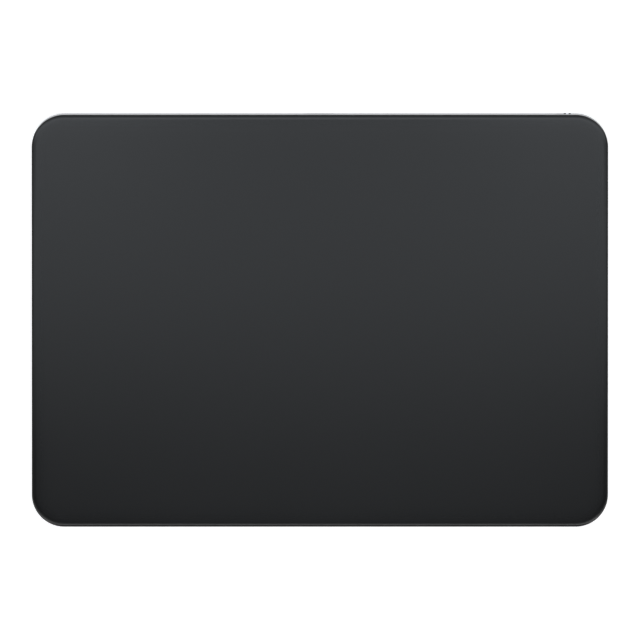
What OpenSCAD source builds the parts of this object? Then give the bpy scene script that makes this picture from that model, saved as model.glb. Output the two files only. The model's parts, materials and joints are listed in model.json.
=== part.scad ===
// Wedge-shaped trackpad: a glass touch plate on four leaf springs over an aluminium tray
// Millimetres: +X is right, +Y is rear, +Z is up, and the feet stand on Z = 0

/* [Body] */
// Width of the body
body_w = 160; // [152:0.5:180]
// Depth of the footprint
body_d = 114.9; // [108:0.1:130]
// Height of the glass over the desk at the front edge
front_h = 4.9; // [4.5:0.1:6]
// Height of the glass over the desk at the rear edge
rear_h = 10.9; // [10.2:0.1:13]
// Corner radius of the outline
corner_r = 9; // [7:0.5:12]
// Thickness of the tray's walls
wall_t = 1.6; // [1.4:0.1:2.2]
// Thickness of the tray's floor
floor_t = 0.7; // [0.6:0.05:0.9]

/* [Touch plate] */
// Thickness of the glass
glass_t = 0.9; // [0.7:0.05:1.1]
// Width of the soft curve round the glass's face
glass_curve_w = 1.4; // [1:0.1:2.1]
// Radius of that curve
glass_curve_r = 4; // [3.5:0.1:8]
// Round-over of the glass's edge, past that curve
glass_round = 0.3; // [0.1:0.05:0.4]
// Chamfer of the glass's lower edge
glass_chamfer = 0.12; // [0.05:0.01:0.2]
// Thickness of the bonding film under the glass
bond_t = 0.1; // [0.05:0.01:0.2]
// Thickness of the touch sensor board
sensor_t = 0.5; // [0.4:0.05:0.6]
// Thickness of the stiffener plate
stiffener_t = 0.45; // [0.3:0.05:0.6]
// Step from the sensor board's edge in to the stiffener's edge
stiffener_step = 1; // [0.5:0.1:2]
// How far the plate goes down when it is pressed
press_travel = 0.2; // [0.1:0.05:0.25]
// How far the plate shakes to each side
haptic_travel = 0.15; // [0.05:0.05:0.25]
// Space that is left over the tray's rim at full press
rim_clear = 0.15; // [0.1:0.05:0.2]
// Space that is left beside the sensor board at full shake
side_clear = 0.65; // [0.4:0.05:1]
// Step from the outline in to the rim gasket
gasket_step = 0.35; // [0.2:0.05:0.5]
// Width of the rim gasket
gasket_w = 0.9; // [0.6:0.05:1]
// Width of a touch chip
touch_chip_w = 5; // [3:0.5:6]
// Depth of a touch chip
touch_chip_d = 3; // [2:0.1:3.2]
// Space between the touch chips and from them to the socket
touch_chip_gap = 0.7; // [0.4:0.1:0.9]
// Space round what stands in the stiffener's window
window_gap = 0.6; // [0.3:0.1:0.8]
// Length of the window in front of the socket, for the cable
window_lead = 4.5; // [3:0.1:6]
// Corner radius of the window and of small plates
small_r = 1; // [0.5:0.1:1.5]

/* [Base] */
// Height of the feet below the bottom cover
foot_h = 0.5; // [0.4:0.1:0.8]
// Radius of a foot
foot_r = 4.5; // [3:0.5:6]
// Depth of a foot's seat in the bottom cover
foot_seat = 0.3; // [0.2:0.05:0.4]
// Space round a foot in its seat
foot_gap = 0.1; // [0.05:0.05:0.2]
// Bevel round the bottom of a foot
foot_bevel = 0.25; // [0.1:0.05:0.4]
// From the side of the body to a foot's centre
foot_side = 14; // [12:0.5:20]
// From the front or rear of the body to a foot's centre
foot_end = 13; // [12:0.5:20]
// Thickness of the bottom cover
cover_t = 0.6; // [0.5:0.05:0.8]
// Width of the metal rim round the bottom cover
cover_rim = 1.4; // [1:0.1:2]
// Space between the bottom cover and that rim
cover_gap = 0.1; // [0.05:0.05:0.2]
// Thickness of the adhesive over the bottom cover
cover_bond_t = 0.1; // [0.05:0.01:0.15]
// Width of that adhesive
cover_bond_w = 8; // [4:0.5:12]

/* [Suspension] */
// Thickness of a gel pad
gel_t = 0.45; // [0.3:0.05:0.5]
// Radius of a gel pad
gel_r = 3; // [2:0.1:3.4]
// Thickness of the spacer on a leaf spring's tip
tip_t = 0.5; // [0.4:0.05:0.6]
// Radius of a leaf spring's tip
tip_r = 3.5; // [3:0.1:4.5]
// Thickness of a leaf spring
flexure_t = 0.3; // [0.2:0.05:0.4]
// From the centre of a leaf spring's root to that of its tip
flexure_l = 24; // [20:0.5:28]
// Side of a leaf spring's square root
root_w = 9; // [8:0.5:10]
// Width of a leaf spring's blade at its root
blade_root_w = 6.4; // [5:0.1:7]
// Width of a leaf spring's blade at its tip
blade_tip_w = 4.8; // [3.5:0.1:6]
// From the tray's side wall to a leaf spring's root
flexure_side = 3.9; // [3:0.1:6]
// From the tray's front or rear wall to a leaf spring's tip
flexure_end = 12; // [11:0.5:16]
// Length of a strain gauge
gauge_l = 3; // [2:0.1:4]
// Width of a strain gauge
gauge_w = 4.2; // [3:0.1:4.6]
// Thickness of a strain gauge
gauge_t = 0.1; // [0.05:0.01:0.15]
// From a leaf spring's root to its strain gauge
gauge_step = 2; // [1:0.1:3]

/* [Shaker] */
// Width of the shaker's bracket
bracket_w = 36; // [34:0.5:40]
// Depth of the shaker's bracket
bracket_d = 30; // [28:0.5:32]
// Thickness of the shaker's bracket
bracket_t = 0.5; // [0.4:0.05:0.6]
// From the shaker's bracket to the main board
bracket_bay = 6.2; // [5.6:0.1:8]
// Width of the coil
coil_w = 30; // [28:0.5:31]
// Depth of the coil
coil_d = 22; // [20:0.5:23]
// Width of the coil's winding
coil_leg = 6.5; // [5:0.1:7]
// Thickness of the coil
coil_t = 1; // [0.8:0.05:1.1]
// Corner radius of the coil's eye
coil_eye_r = 2; // [1:0.1:2.5]
// Space between the coil and the core inside it
core_gap = 0.2; // [0.1:0.05:0.3]
// Length of a magnet
magnet_w = 24; // [20:0.5:28]
// Depth of a magnet
magnet_d = 6; // [4:0.1:7]
// Thickness of a magnet
magnet_t = 1; // [0.8:0.05:1.1]
// Space between the magnets and the coil
magnet_gap = 0.45; // [0.35:0.05:0.6]
// Thickness of the magnets' back plate
yoke_t = 0.6; // [0.4:0.05:0.7]
// How far the back plate stands out round the magnets
yoke_edge = 1.5; // [0.5:0.1:3]

/* [Battery] */
// Depth of a cell
cell_d = 42; // [30:0.5:44]
// Corner radius of a cell
cell_r = 2; // [1:0.5:4]
// Space that is left over a cell for its swelling
swell_gap = 0.5; // [0.4:0.05:0.8]
// Space between a cell and the shaker's bracket
cell_bay = 4; // [3:0.1:6]
// Space between a cell and the gauge cable
cell_gap = 1.2; // [0.5:0.1:2]
// From the cells to the main board
lead_bay = 5.2; // [5:0.1:7]
// Thickness of the adhesive strips under a cell
cell_bond_t = 0.15; // [0.1:0.01:0.2]
// Width of an adhesive strip
cell_bond_w = 8; // [4:0.5:10]
// Depth of the protection board
guard_d = 3; // [2.5:0.1:3.4]
// Thickness of the protection board
guard_t = 0.8; // [0.6:0.05:1]
// Space between the cells and the protection board
guard_gap = 0.4; // [0.2:0.05:0.6]
// Width of a cell tab
tab_w = 4; // [3:0.5:6]
// Thickness of a cell tab
tab_t = 0.15; // [0.1:0.01:0.2]
// How far a cell tab lies on the protection board
tab_lap = 1.5; // [1:0.1:2]

/* [Main board] */
// Depth of the main board
board_d = 11.6; // [11:0.1:13]
// Thickness of the main board
board_t = 0.8; // [0.6:0.05:1]
// Space between the main board and the tray's rear wall
board_gap = 0.8; // [0.5:0.05:1.2]
// Edge of the main board past what stands at its ends
board_edge = 0.6; // [0.4:0.1:1.5]
// Height of the sockets
socket_h = 0.9; // [0.8:0.05:1]
// Depth of the sockets
socket_d = 3; // [2:0.1:3.4]
// How far a socket stands out beside its cable
socket_lip = 0.5; // [0.3:0.1:1]
// From the main board's front edge to the sockets
socket_step = 1.8; // [1.5:0.1:2.2]
// Width of the shield can
can_w = 24; // [16:0.5:26]
// Depth of the shield can
can_d = 8; // [7:0.1:8.5]
// Height of the shield can
can_h = 1.4; // [1.2:0.05:1.6]
// Wall of the shield can
can_wall = 0.15; // [0.1:0.01:0.25]
// From the middle of the body to the shield can's centre
can_x = 24; // [20:0.5:26]
// Side of a square chip
chip_w = 5; // [3:0.1:5.5]
// Thickness of the chips
chip_t = 0.8; // [0.6:0.05:1]
// From the middle of the body to the main board's inner screws
inner_screw_x = 42; // [41:0.5:50]
// Length of the antenna
antenna_w = 10; // [6:0.5:12]
// Depth of the antenna
antenna_d = 3; // [2:0.1:3.4]
// Height of the antenna
antenna_h = 1.2; // [0.8:0.05:1.6]

/* [Cables] */
// Thickness of the flat cables
cable_t = 0.15; // [0.1:0.01:0.2]
// Width of a gauge cable
gauge_cable_w = 2.2; // [1.5:0.1:2.4]
// Width of a gauge cable's branch to its gauge
branch_w = 1.6; // [1:0.1:1.8]
// Space between a gauge cable and the boss that it climbs
cable_gap = 0.08; // [0.05:0.01:0.15]
// Width of the touch cable
touch_cable_w = 12; // [8:0.5:13]
// From the middle of the body to the touch cable's centre
touch_x = 26; // [25:0.5:30]
// From the boards to the touch cable's near face
touch_lift = 0.55; // [0.45:0.05:0.6]
// From the main board's front edge to the touch cable's bend
bend_lead = 1; // [0.5:0.1:1.2]
// Width of the battery cable
battery_cable_w = 6; // [4:0.5:7]
// From the middle of the body to the battery cable's centre
battery_cable_x = 13; // [12:0.5:14]
// Width of the shaker's cable
haptic_cable_w = 6; // [4:0.5:7]

/* [Charging port] */
// Width of the port's shell
port_w = 8.94; // [8.8:0.01:9.2]
// Height of the port's shell
port_h = 3.16; // [3:0.01:3.3]
// Length of the port's shell
port_l = 7.35; // [6.8:0.05:7.6]
// Wall of the port's shell
port_wall = 0.3; // [0.2:0.01:0.35]
// From the glass's face down to the port's centre
port_drop = 5.6; // [5.3:0.1:5.9]
// Space round the port's shell in the wall and the main board
port_gap = 0.12; // [0.05:0.01:0.2]
// How far the port's mouth lies behind the wall's face
port_recess = 0.1; // [0:0.05:0.3]
// Width of the plate in the rear wall that the port looks out of
plate_w = 13; // [12:0.1:16]
// Edge of that plate under the port
plate_edge = 0.8; // [0.6:0.1:1]
// Space between that plate's sides and the wall
plate_gap = 0.05; // [0.03:0.01:0.1]
// Width of the port's tongue
tongue_w = 6.69; // [6.4:0.01:6.8]
// Thickness of the port's tongue
tongue_t = 0.7; // [0.6:0.01:0.75]
// From the port's mouth to the tongue's tip
tongue_recess = 0.7; // [0.5:0.05:1]
// Depth of the block that carries the tongue
tongue_block = 2; // [1.5:0.1:2.5]
// Space between that block and the shell
tongue_gap = 0.05; // [0.03:0.01:0.08]
// Pitch of the port's contacts
contact_pitch = 0.5; // [0.48:0.01:0.52]
// Width of a contact
contact_w = 0.25; // [0.2:0.01:0.3]
// Thickness of a contact
contact_t = 0.06; // [0.04:0.01:0.08]
// Length of a contact
contact_l = 3.4; // [3:0.1:3.8]
// Contacts on each side of the tongue
contact_n = 12; // [8:1:12]
// Reach of the shell's solder wings
wing_w = 1; // [0.8:0.1:1.2]
// Depth of a solder wing
wing_d = 1.2; // [0.8:0.1:1.6]

/* [Power switch] */
// Width of the switch's knob in its slot
knob_w = 2.6; // [2.2:0.1:3]
// Height of the knob's slot
slot_h = 2; // [1.8:0.1:2.4]
// How far the knob slides
knob_travel = 2.2; // [1.6:0.1:2.4]
// Space round the knob in its slot
knob_gap = 0.15; // [0.1:0.01:0.2]
// How far the knob's face lies behind the wall's face
knob_recess = 0.1; // [0:0.05:0.2]
// Width of the ridge that the finger pushes
ridge_w = 1.9; // [1.4:0.1:2.2]
// Height of that ridge
ridge_h = 1.2; // [0.8:0.1:1.4]
// How far that ridge stands out of the wall
ridge_proud = 0.25; // [0.1:0.05:0.3]
// Thickness of the knob's flange behind the wall
flange_t = 0.5; // [0.4:0.05:0.6]
// How far the flange reaches past the slot's edges
flange_lap = 0.4; // [0.3:0.05:0.6]
// Space between the flange and the wall
flange_gap = 0.1; // [0.08:0.01:0.12]
// Wall that is left behind the knob's slot
slot_wall = 1; // [0.8:0.05:1.1]
// From the start of the rear right corner's curve to the knob
knob_step = 2.3; // [2:0.1:6]
// Thickness of the green flag film
flag_t = 0.05; // [0.03:0.01:0.06]
// Width of the switch's housing
housing_w = 7; // [6.5:0.1:8]
// Depth of the switch's housing
housing_d = 4; // [3.5:0.1:4.5]
// Height of the switch's housing
housing_h = 1.9; // [1.8:0.1:2.2]
// Space between the switch's housing and the flange
housing_gap = 0.15; // [0.1:0.01:0.2]
// Width of the switch's lever
lever_w = 1.2; // [0.8:0.1:1.4]
// Height of the switch's lever
lever_h = 0.9; // [0.6:0.05:1]
// Length of the switch's lever inside its housing
lever_l = 2.5; // [2:0.1:3]
// How far the lever reaches into the flange
lever_lap = 0.3; // [0.2:0.05:0.35]
// Space round the lever in the flange
lever_gap = 0.06; // [0.04:0.01:0.1]

/* [Screws] */
// Radius of a screw's shank
screw_r = 0.7; // [0.6:0.05:0.8]
// Radius of a screw's head
head_r = 1.3; // [1.1:0.05:1.4]
// Height of a screw's head
head_h = 0.45; // [0.35:0.05:0.5]
// How far a screw goes into its boss
screw_grip = 1.1; // [0.8:0.05:1.2]
// Space round a screw in its boss
thread_gap = 0.05; // [0.03:0.01:0.08]
// Space round a screw in the piece that it holds
screw_gap = 0.1; // [0.05:0.01:0.2]
// Space past a screw's end in its boss
screw_end = 0.15; // [0.1:0.05:0.2]
// From a screw's axis to the edge of the piece that it holds
screw_edge = 1.9; // [1.6:0.1:2.2]
// Radius of a screw's round boss
boss_r = 2; // [1.7:0.1:2.4]
// Radius of the hexagon socket in a screw's head
hex_r = 0.6; // [0.4:0.05:0.7]
// Depth of that socket
hex_t = 0.25; // [0.15:0.05:0.3]

/* [Hidden] */
$fn = 64;
// Longer than the whole body, for cuts that go right through
far = 2 * (body_w + body_d);
// Overlap that keeps a cut's face clear of the face it opens
eps = 0.01;

// The glass's tilt, so that walls square to it end within the footprint
rise = rear_h - front_h;
wall_drop = rear_h - foot_h;
tilt = atan((body_d - sqrt(body_d * body_d - 4 * wall_drop * rise)) / (2 * wall_drop));
deck_d = rise / sin(tilt);
deck_y = (deck_d * cos(tilt) - body_d) / 2;
deck_z = (front_h + rear_h) / 2;

// Levels of the base, above the desk
cover_top = foot_h + cover_t;
floor_base = cover_top + cover_bond_t;
floor_top = floor_base + floor_t;
base_y = deck_y + (deck_z - foot_h) * tan(tilt);
base_d = deck_d / cos(tilt);

// Depths below the glass's face, square to it
bond_drop = glass_t;
sensor_drop = bond_drop + bond_t;
stiffener_drop = sensor_drop + sensor_t;
gel_drop = stiffener_drop + stiffener_t;
tip_drop = gel_drop + gel_t;
flexure_drop = tip_drop + tip_t;
root_drop = flexure_drop + flexure_t;
gasket_t = press_travel + rim_clear;
rim_drop = glass_t + gasket_t;
magnet_drop = gel_drop + yoke_t;
coil_drop = magnet_drop + magnet_t + magnet_gap;
bracket_drop = coil_drop + coil_t;
bracket_base = bracket_drop + bracket_t;
board_base = port_drop + port_h / 2;
board_drop = board_base - board_t;

// Plan sizes, in the glass's plane
cavity_w = body_w - 2 * wall_t;
cavity_d = deck_d - 2 * wall_t;
cavity_r = corner_r - wall_t;
sensor_gap = haptic_travel + side_clear;
rear_face = deck_d / 2;
rear_wall = cavity_d / 2;
flexure_x = cavity_w / 2 - flexure_side - root_w / 2;
tip_v = cavity_d / 2 - flexure_end - tip_r;
root_v = tip_v - flexure_l;
gauge_v = root_w / 2 + gauge_step;
cable_x1 = flexure_x - root_w / 2 - cable_gap;
cable_x0 = cable_x1 - gauge_cable_w;
screw_in = root_w / 2 - screw_edge;

// The power switch
slot_w = knob_w + knob_travel + 2 * knob_gap;
knob_x = body_w / 2 - corner_r - knob_step;
slot_x = knob_x - knob_travel / 2;
flange_w = slot_w + knob_travel + 2 * flange_lap;
flange_h = slot_h + 2 * flange_lap;
flange_v = rear_face - slot_wall - flange_gap;
housing_v = flange_v - flange_t - housing_gap;

// The main board and what stands on it
board_v1 = rear_wall - board_gap;
board_v0 = board_v1 - board_d;
board_x0 = -cable_x1 - board_edge;
board_x1 = slot_x + housing_w / 2 + board_edge;
board_screw_v = board_v0 + screw_edge;
outer_screw_x = cable_x0 - 2 * screw_edge;
board_screw_x = [-outer_screw_x, -inner_screw_x, inner_screw_x, outer_screw_x];
antenna_x = board_x0 + board_edge + antenna_w / 2;
socket_v = board_v0 + socket_step;
can_v = board_v1 - board_edge - can_d / 2;
port_mouth = rear_face - port_recess;
port_back = port_mouth - port_l;
plate_drop = port_drop + port_h / 2 + port_gap + plate_edge;
socket_mid = socket_v + socket_d / 2;
touch_socket_w = touch_cable_w + 2 * socket_lip;
touch_chip_v = socket_v + socket_d + touch_chip_gap;
window_w = touch_socket_w + 2 * window_gap;
window_d = window_lead + touch_chip_v - socket_v + touch_chip_d + window_gap;
window_v = socket_v - window_lead + window_d / 2;

// The shaker
haptic_v = board_v0 - bracket_bay - bracket_d / 2;
magnet_v = (coil_d - coil_leg) / 2;

// The battery, which lies on the floor and not in the glass's plane
cell_x0 = bracket_w / 2 + cell_bay;
cell_x1 = cable_x0 - cell_gap;
cell_w = cell_x1 - cell_x0;
cell_y1 = deck_point(board_v0, board_base)[0] - lead_bay;
cell_y0 = cell_y1 - cell_d;
cell_z = floor_top + cell_bond_t;
cell_t = deck_z + (cell_y0 - deck_y) * tan(tilt) - gel_drop / cos(tilt) - cell_z - swell_gap;
guard_y = cell_y1 + guard_gap;
guard_top = floor_top + guard_t;
guard_w = 2 * cell_x1 - tab_w;

// Corners by name, with the side and the end that they are on
CORNERS = [["front_left", -1, -1], ["front_right", 1, -1], ["rear_left", -1, 1], ["rear_right", 1, 1]];
SIDES = [["left", -1], ["right", 1]];

// A point of the glass's middle plane as [Y, Z], from its distance along the glass and its depth below it
function deck_point(v, drop) = [
    deck_y + v * cos(tilt) + drop * sin(tilt),
    deck_z + v * sin(tilt) - drop * cos(tilt)
];

// Places its children in the glass's plane, this far below its face
module deck(drop = 0) {
    translate([0, deck_y, deck_z]) rotate([tilt, 0, 0]) translate([0, 0, -drop]) children();
}

// Places its children at a corner's leaf spring root, with +X outwards and +Y towards its tip
module at_root(c, drop) {
    deck(drop)
        mirror([c[1] < 0 ? 1 : 0, 0, 0])
            mirror([0, c[2] < 0 ? 1 : 0, 0])
                translate([flexure_x, root_v, 0]) children();
}

// Everything above this height over the desk
module above(z) {
    translate([-far / 2, -far / 2, z]) cube(far);
}

module rounded_rect(w, d, r) {
    square([w - 2 * r, d], center = true);
    square([w, d - 2 * r], center = true);
    for (x = [-1, 1], y = [-1, 1]) {
        translate([x * (w / 2 - r), y * (d / 2 - r)]) circle(r);
    }
}

// Slot outline with half-round ends
module stadium(w, h) {
    square([w - h, h], center = true);
    for (x = [-1, 1]) translate([x * (w - h) / 2, 0]) circle(h / 2);
}

// Box in the glass's plane that stands on it, by its middle and its sizes
module block(x, v, w, d, h) {
    translate([x - w / 2, v - d / 2, 0]) cube([w, d, h]);
}

// Extrudes its outline from the rear wall inwards, square to the wall, starting at v
module inwards(v, l) {
    translate([0, v, 0]) rotate([90, 0, 0]) linear_extrude(l) children();
}

// Extrudes a side view across the body, with its middle at x
module across(x, w) {
    translate([x - w / 2, 0, 0]) rotate([90, 0, 90]) linear_extrude(w) children();
}

// Side view of a flat cable that lies on a line of [Y, Z] points
module cable_line(points) {
    last = len(points) - 1;
    polygon(concat(points, [for (i = [last:-1:0]) points[i] + [0, cable_t]]));
}

// Slab with a shaped rim: its child is the rim's section, from the corner's centre outwards
module rimmed_slab(w, d, r, t) {
    flat_w = w - 2 * r;
    flat_d = d - 2 * r;
    block(0, 0, flat_w, flat_d, t);
    for (turn = [0, 180]) rotate(turn) {
        translate([flat_w / 2, 0, 0]) rotate([90, 0, 0]) linear_extrude(flat_d, center = true) children();
        translate([0, flat_d / 2, 0]) rotate([90, 0, 90]) linear_extrude(flat_w, center = true) children();
        translate([flat_w / 2, flat_d / 2, 0]) rotate_extrude(angle = 90) children();
        translate([-flat_w / 2, flat_d / 2, 0]) rotate(90) rotate_extrude(angle = 90) children();
    }
}

// Section of the glass's rim: a soft curve off the face, a small round-over and a straight side
module glass_rim() {
    flat = corner_r - glass_curve_w;
    curve_mid = [flat, glass_t - glass_curve_r];
    reach = glass_curve_r - glass_round;
    lean = asin((glass_curve_w - glass_round) / reach);
    round_mid = curve_mid + reach * [sin(lean), cos(lean)];
    past = 4 * glass_round;
    difference() {
        union() {
            square([flat, glass_t]);
            intersection() {
                square([corner_r, glass_t]);
                translate(curve_mid) circle(glass_curve_r);
            }
        }
        translate(round_mid) difference() {
            polygon([[0, 0], past * [sin(lean), cos(lean)], [past, past], [past, 0]]);
            circle(glass_round);
        }
        translate([corner_r, 0]) rotate(45) square(glass_chamfer * sqrt(2), center = true);
    }
}

module glass_plate() {
    color("#37393b") deck(glass_t) rimmed_slab(body_w, deck_d, corner_r, glass_t) glass_rim();
}

module sensor_outline(step) {
    gap = sensor_gap + step;
    rounded_rect(cavity_w - 2 * gap, cavity_d - 2 * gap, cavity_r - gap);
}

module glass_bond() {
    color("#101010") deck(sensor_drop) linear_extrude(bond_t) sensor_outline(0);
}

module sensor_board() {
    color("#1f3d2b") deck(stiffener_drop) linear_extrude(sensor_t) sensor_outline(0);
}

module touch_chips() {
    color("#222222") deck(stiffener_drop + chip_t) {
        for (side = [-1, 1]) {
            x = side * (touch_chip_w + touch_chip_gap) / 2 - touch_x;
            block(x, touch_chip_v + touch_chip_d / 2, touch_chip_w, touch_chip_d, chip_t);
        }
    }
}

module touch_socket() {
    color("ivory") deck(stiffener_drop + socket_h) {
        block(-touch_x, socket_mid, touch_socket_w, socket_d, socket_h);
    }
}

module stiffener_plate() {
    color("#9aa0a4") deck(gel_drop) linear_extrude(stiffener_t) difference() {
        sensor_outline(stiffener_step);
        translate([-touch_x, window_v]) rounded_rect(window_w, window_d, small_r);
    }
}

module haptic_yoke() {
    color("#8a8d90") deck(magnet_drop) linear_extrude(yoke_t) translate([0, haptic_v]) {
        rounded_rect(magnet_w + 2 * yoke_edge, 2 * magnet_v + magnet_d + 2 * yoke_edge, small_r);
    }
}

module haptic_magnets() {
    color("#b8bcc0") deck(magnet_drop + magnet_t) {
        for (side = [-1, 1]) block(0, haptic_v + side * magnet_v, magnet_w, magnet_d, magnet_t);
    }
}

// Screw whose head stands on the plane Z = 0, through a piece of this thickness
module screw(clamp) {
    difference() {
        union() {
            cylinder(r = head_r, h = head_h);
            translate([0, 0, -clamp - screw_grip]) cylinder(r = screw_r, h = clamp + screw_grip + head_h / 2);
        }
        translate([0, 0, head_h - hex_t]) cylinder(r = hex_r, h = head_h, $fn = 6);
    }
}

module flexure_screw_places(c, drop) {
    for (end = [-1, 1]) at_root(c, drop) translate([screw_in, end * screw_in, 0]) children();
}

module bracket_screw_places(drop) {
    for (x = [-1, 1], v = [-1, 1]) {
        deck(drop)
            translate([x * (bracket_w / 2 - screw_edge), haptic_v + v * (bracket_d / 2 - screw_edge), 0])
                children();
    }
}

module board_screw_places(drop) {
    for (x = board_screw_x) deck(drop) translate([x, board_screw_v, 0]) children();
}

// Hole for a screw's thread, down from the plane Z = 0
module thread_hole() {
    depth = screw_grip + screw_end;
    translate([0, 0, -depth]) cylinder(r = screw_r + thread_gap, h = depth + eps);
}

// Posts that stand on the tray's floor and carry what is inside
module bosses() {
    intersection() {
        union() {
            for (c = CORNERS) at_root(c, far) linear_extrude(far - root_drop) square(root_w, center = true);
            bracket_screw_places(far) cylinder(r = boss_r, h = far - bracket_base);
            board_screw_places(far) cylinder(r = boss_r, h = far - board_base);
        }
        above(floor_base);
    }
}

module tray() {
    intersection() {
        deck(far) linear_extrude(far - rim_drop) rounded_rect(body_w, deck_d, corner_r);
        above(foot_h);
    }
}

module cavity() {
    intersection() {
        deck(far) linear_extrude(far) rounded_rect(cavity_w, cavity_d, cavity_r);
        above(floor_top);
    }
}

// Outline of the bottom cover, drawn in from the metal rim
module cover_outline(step) {
    inset = cover_rim + step;
    translate([0, base_y]) rounded_rect(body_w - 2 * inset, base_d - 2 * inset, corner_r - inset);
}

// The knob's slot, and the pocket behind it where the flange slides
module knob_cuts() {
    pocket_w = flange_w + knob_travel + 4 * flange_gap;
    pocket_h = flange_h + 4 * flange_gap;
    deck(port_drop) translate([slot_x, 0, 0]) {
        inwards(rear_face + wall_t, 3 * wall_t) stadium(slot_w, slot_h);
        inwards(rear_face - slot_wall, wall_t) square([pocket_w, pocket_h], center = true);
    }
}

module port_hole() {
    deck(port_drop) inwards(rear_face + wall_t, 3 * wall_t) {
        stadium(port_w + 2 * port_gap, port_h + 2 * port_gap);
    }
}

// Plate let into the rear wall from above, so that the board and its port can be put in
module port_plate() {
    color("#d0d2d5") difference() {
        deck(plate_drop) block(0, rear_face - wall_t / 2, plate_w, wall_t, plate_drop - rim_drop);
        port_hole();
    }
}

module enclosure() {
    color("#d4d6d9") difference() {
        union() {
            difference() {
                tray();
                cavity();
            }
            bosses();
        }
        translate([0, 0, foot_h - eps]) linear_extrude(floor_base - foot_h + eps) cover_outline(0);
        deck(plate_drop) block(0, rear_face, plate_w + 2 * plate_gap, 4 * wall_t, plate_drop);
        knob_cuts();
        for (c = CORNERS) flexure_screw_places(c, root_drop) thread_hole();
        bracket_screw_places(bracket_base) thread_hole();
        board_screw_places(board_base) thread_hole();
    }
}

module rim_gasket() {
    inner = gasket_step + gasket_w;
    color("#0c0c0d") deck(rim_drop) linear_extrude(gasket_t) difference() {
        rounded_rect(body_w - 2 * gasket_step, deck_d - 2 * gasket_step, corner_r - gasket_step);
        rounded_rect(body_w - 2 * inner, deck_d - 2 * inner, corner_r - inner);
    }
}

module foot_place(c) {
    translate([c[1] * (body_w / 2 - foot_side), base_y + c[2] * (base_d / 2 - foot_end), 0]) children();
}

module bottom_cover() {
    color("#e4e5e7") difference() {
        translate([0, 0, foot_h]) linear_extrude(cover_t) cover_outline(cover_gap);
        for (c = CORNERS) foot_place(c) cylinder(r = foot_r + foot_gap, h = foot_h + foot_seat);
    }
}

module cover_bond() {
    inset = 2 * (cover_rim + cover_bond_w);
    color("#c9c4b0") translate([0, 0, cover_top]) linear_extrude(cover_bond_t) difference() {
        cover_outline(2 * cover_gap);
        translate([0, base_y]) square([body_w - inset, base_d - inset], center = true);
    }
}

module foot(c) {
    top = foot_h + foot_seat;
    color("#e9e9ea") foot_place(c) rotate_extrude() {
        polygon([[0, 0], [foot_r - foot_bevel, 0], [foot_r, foot_bevel], [foot_r, top], [0, top]]);
    }
}

module gel_pad(c) {
    color("#c8d4c0") at_root(c, tip_drop) translate([0, flexure_l, 0]) cylinder(r = gel_r, h = gel_t);
}

module flexure_tip(c) {
    color("#b5b9bc") at_root(c, flexure_drop) translate([0, flexure_l, 0]) cylinder(r = tip_r, h = tip_t);
}

// Leaf spring: a square root, a tapering blade and a round tip
module flexure(c) {
    color("#a7abae") difference() {
        at_root(c, root_drop) linear_extrude(flexure_t) {
            rounded_rect(root_w, root_w, small_r);
            polygon([
                [-blade_root_w / 2, 0], [blade_root_w / 2, 0],
                [blade_tip_w / 2, flexure_l], [-blade_tip_w / 2, flexure_l]
            ]);
            translate([0, flexure_l]) circle(tip_r);
        }
        flexure_screw_places(c, root_drop) {
            translate([0, 0, -flexure_t]) cylinder(r = screw_r + screw_gap, h = 3 * flexure_t);
        }
    }
}

module strain_gauges() {
    color("#c98a3a") for (c = CORNERS) at_root(c, flexure_drop) {
        block(0, gauge_v + gauge_l / 2, gauge_w, gauge_l, gauge_t);
    }
}

module flexure_screws() {
    color("#6f7376") for (c = CORNERS) flexure_screw_places(c, flexure_drop) screw(flexure_t);
}

// Flat cable along the floor, with a branch up each boss to its gauge and a fold up to the main board
module gauge_cable(side) {
    riser_x = -root_w / 2 - cable_gap;
    inner_x = -gauge_w / 2;
    fold_v = board_v0 - cable_gap;
    strip_v = -root_v - branch_w / 2;
    color("#b5712c") {
        intersection() {
            deck(far) mirror([side < 0 ? 1 : 0, 0, 0]) translate([cable_x0, strip_v, 0]) {
                cube([gauge_cable_w, fold_v - strip_v, far]);
            }
            above(floor_top);
            translate([0, 0, cable_t - far]) above(floor_top);
        }
        intersection() {
            union() {
                for (c = CORNERS) if (c[1] == side) at_root(c, far) {
                    translate([riser_x - cable_t, -branch_w / 2, 0]) {
                        cube([cable_t, branch_w, far - flexure_drop + cable_t]);
                    }
                }
                deck(far) mirror([side < 0 ? 1 : 0, 0, 0]) translate([cable_x0, fold_v - cable_t, 0]) {
                    cube([gauge_cable_w, cable_t, far - board_drop + cable_t]);
                }
            }
            above(floor_top);
        }
        for (c = CORNERS) if (c[1] == side) at_root(c, flexure_drop) {
            translate([riser_x - cable_t, -branch_w / 2, 0]) {
                cube([inner_x + branch_w - riser_x + cable_t, branch_w, cable_t]);
            }
            translate([inner_x, -branch_w / 2, 0]) cube([branch_w, gauge_v + branch_w / 2, cable_t]);
        }
        deck(board_drop) mirror([side < 0 ? 1 : 0, 0, 0]) translate([cable_x0, fold_v - cable_t, 0]) {
            cube([gauge_cable_w, cable_t + cable_gap + socket_step, cable_t]);
        }
    }
}

module battery(side) {
    color("#2b2c2f") translate([side * (cell_x0 + cell_w / 2), cell_y0 + cell_d / 2, cell_z]) {
        linear_extrude(cell_t) rounded_rect(cell_w, cell_d, cell_r);
    }
}

module battery_bond() {
    color("#d8d2bc") for (side = [-1, 1], strip = [-1, 1]) {
        translate([side * (cell_x0 + cell_w / 2), cell_y0 + cell_d / 2 + strip * cell_d / 4, floor_top]) {
            block(0, 0, cell_w - 2 * cell_r, cell_bond_w, cell_bond_t);
        }
    }
}

module battery_board() {
    color("#23462f") translate([0, guard_y + guard_d / 2, floor_top]) block(0, 0, guard_w, guard_d, guard_t);
}

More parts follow.
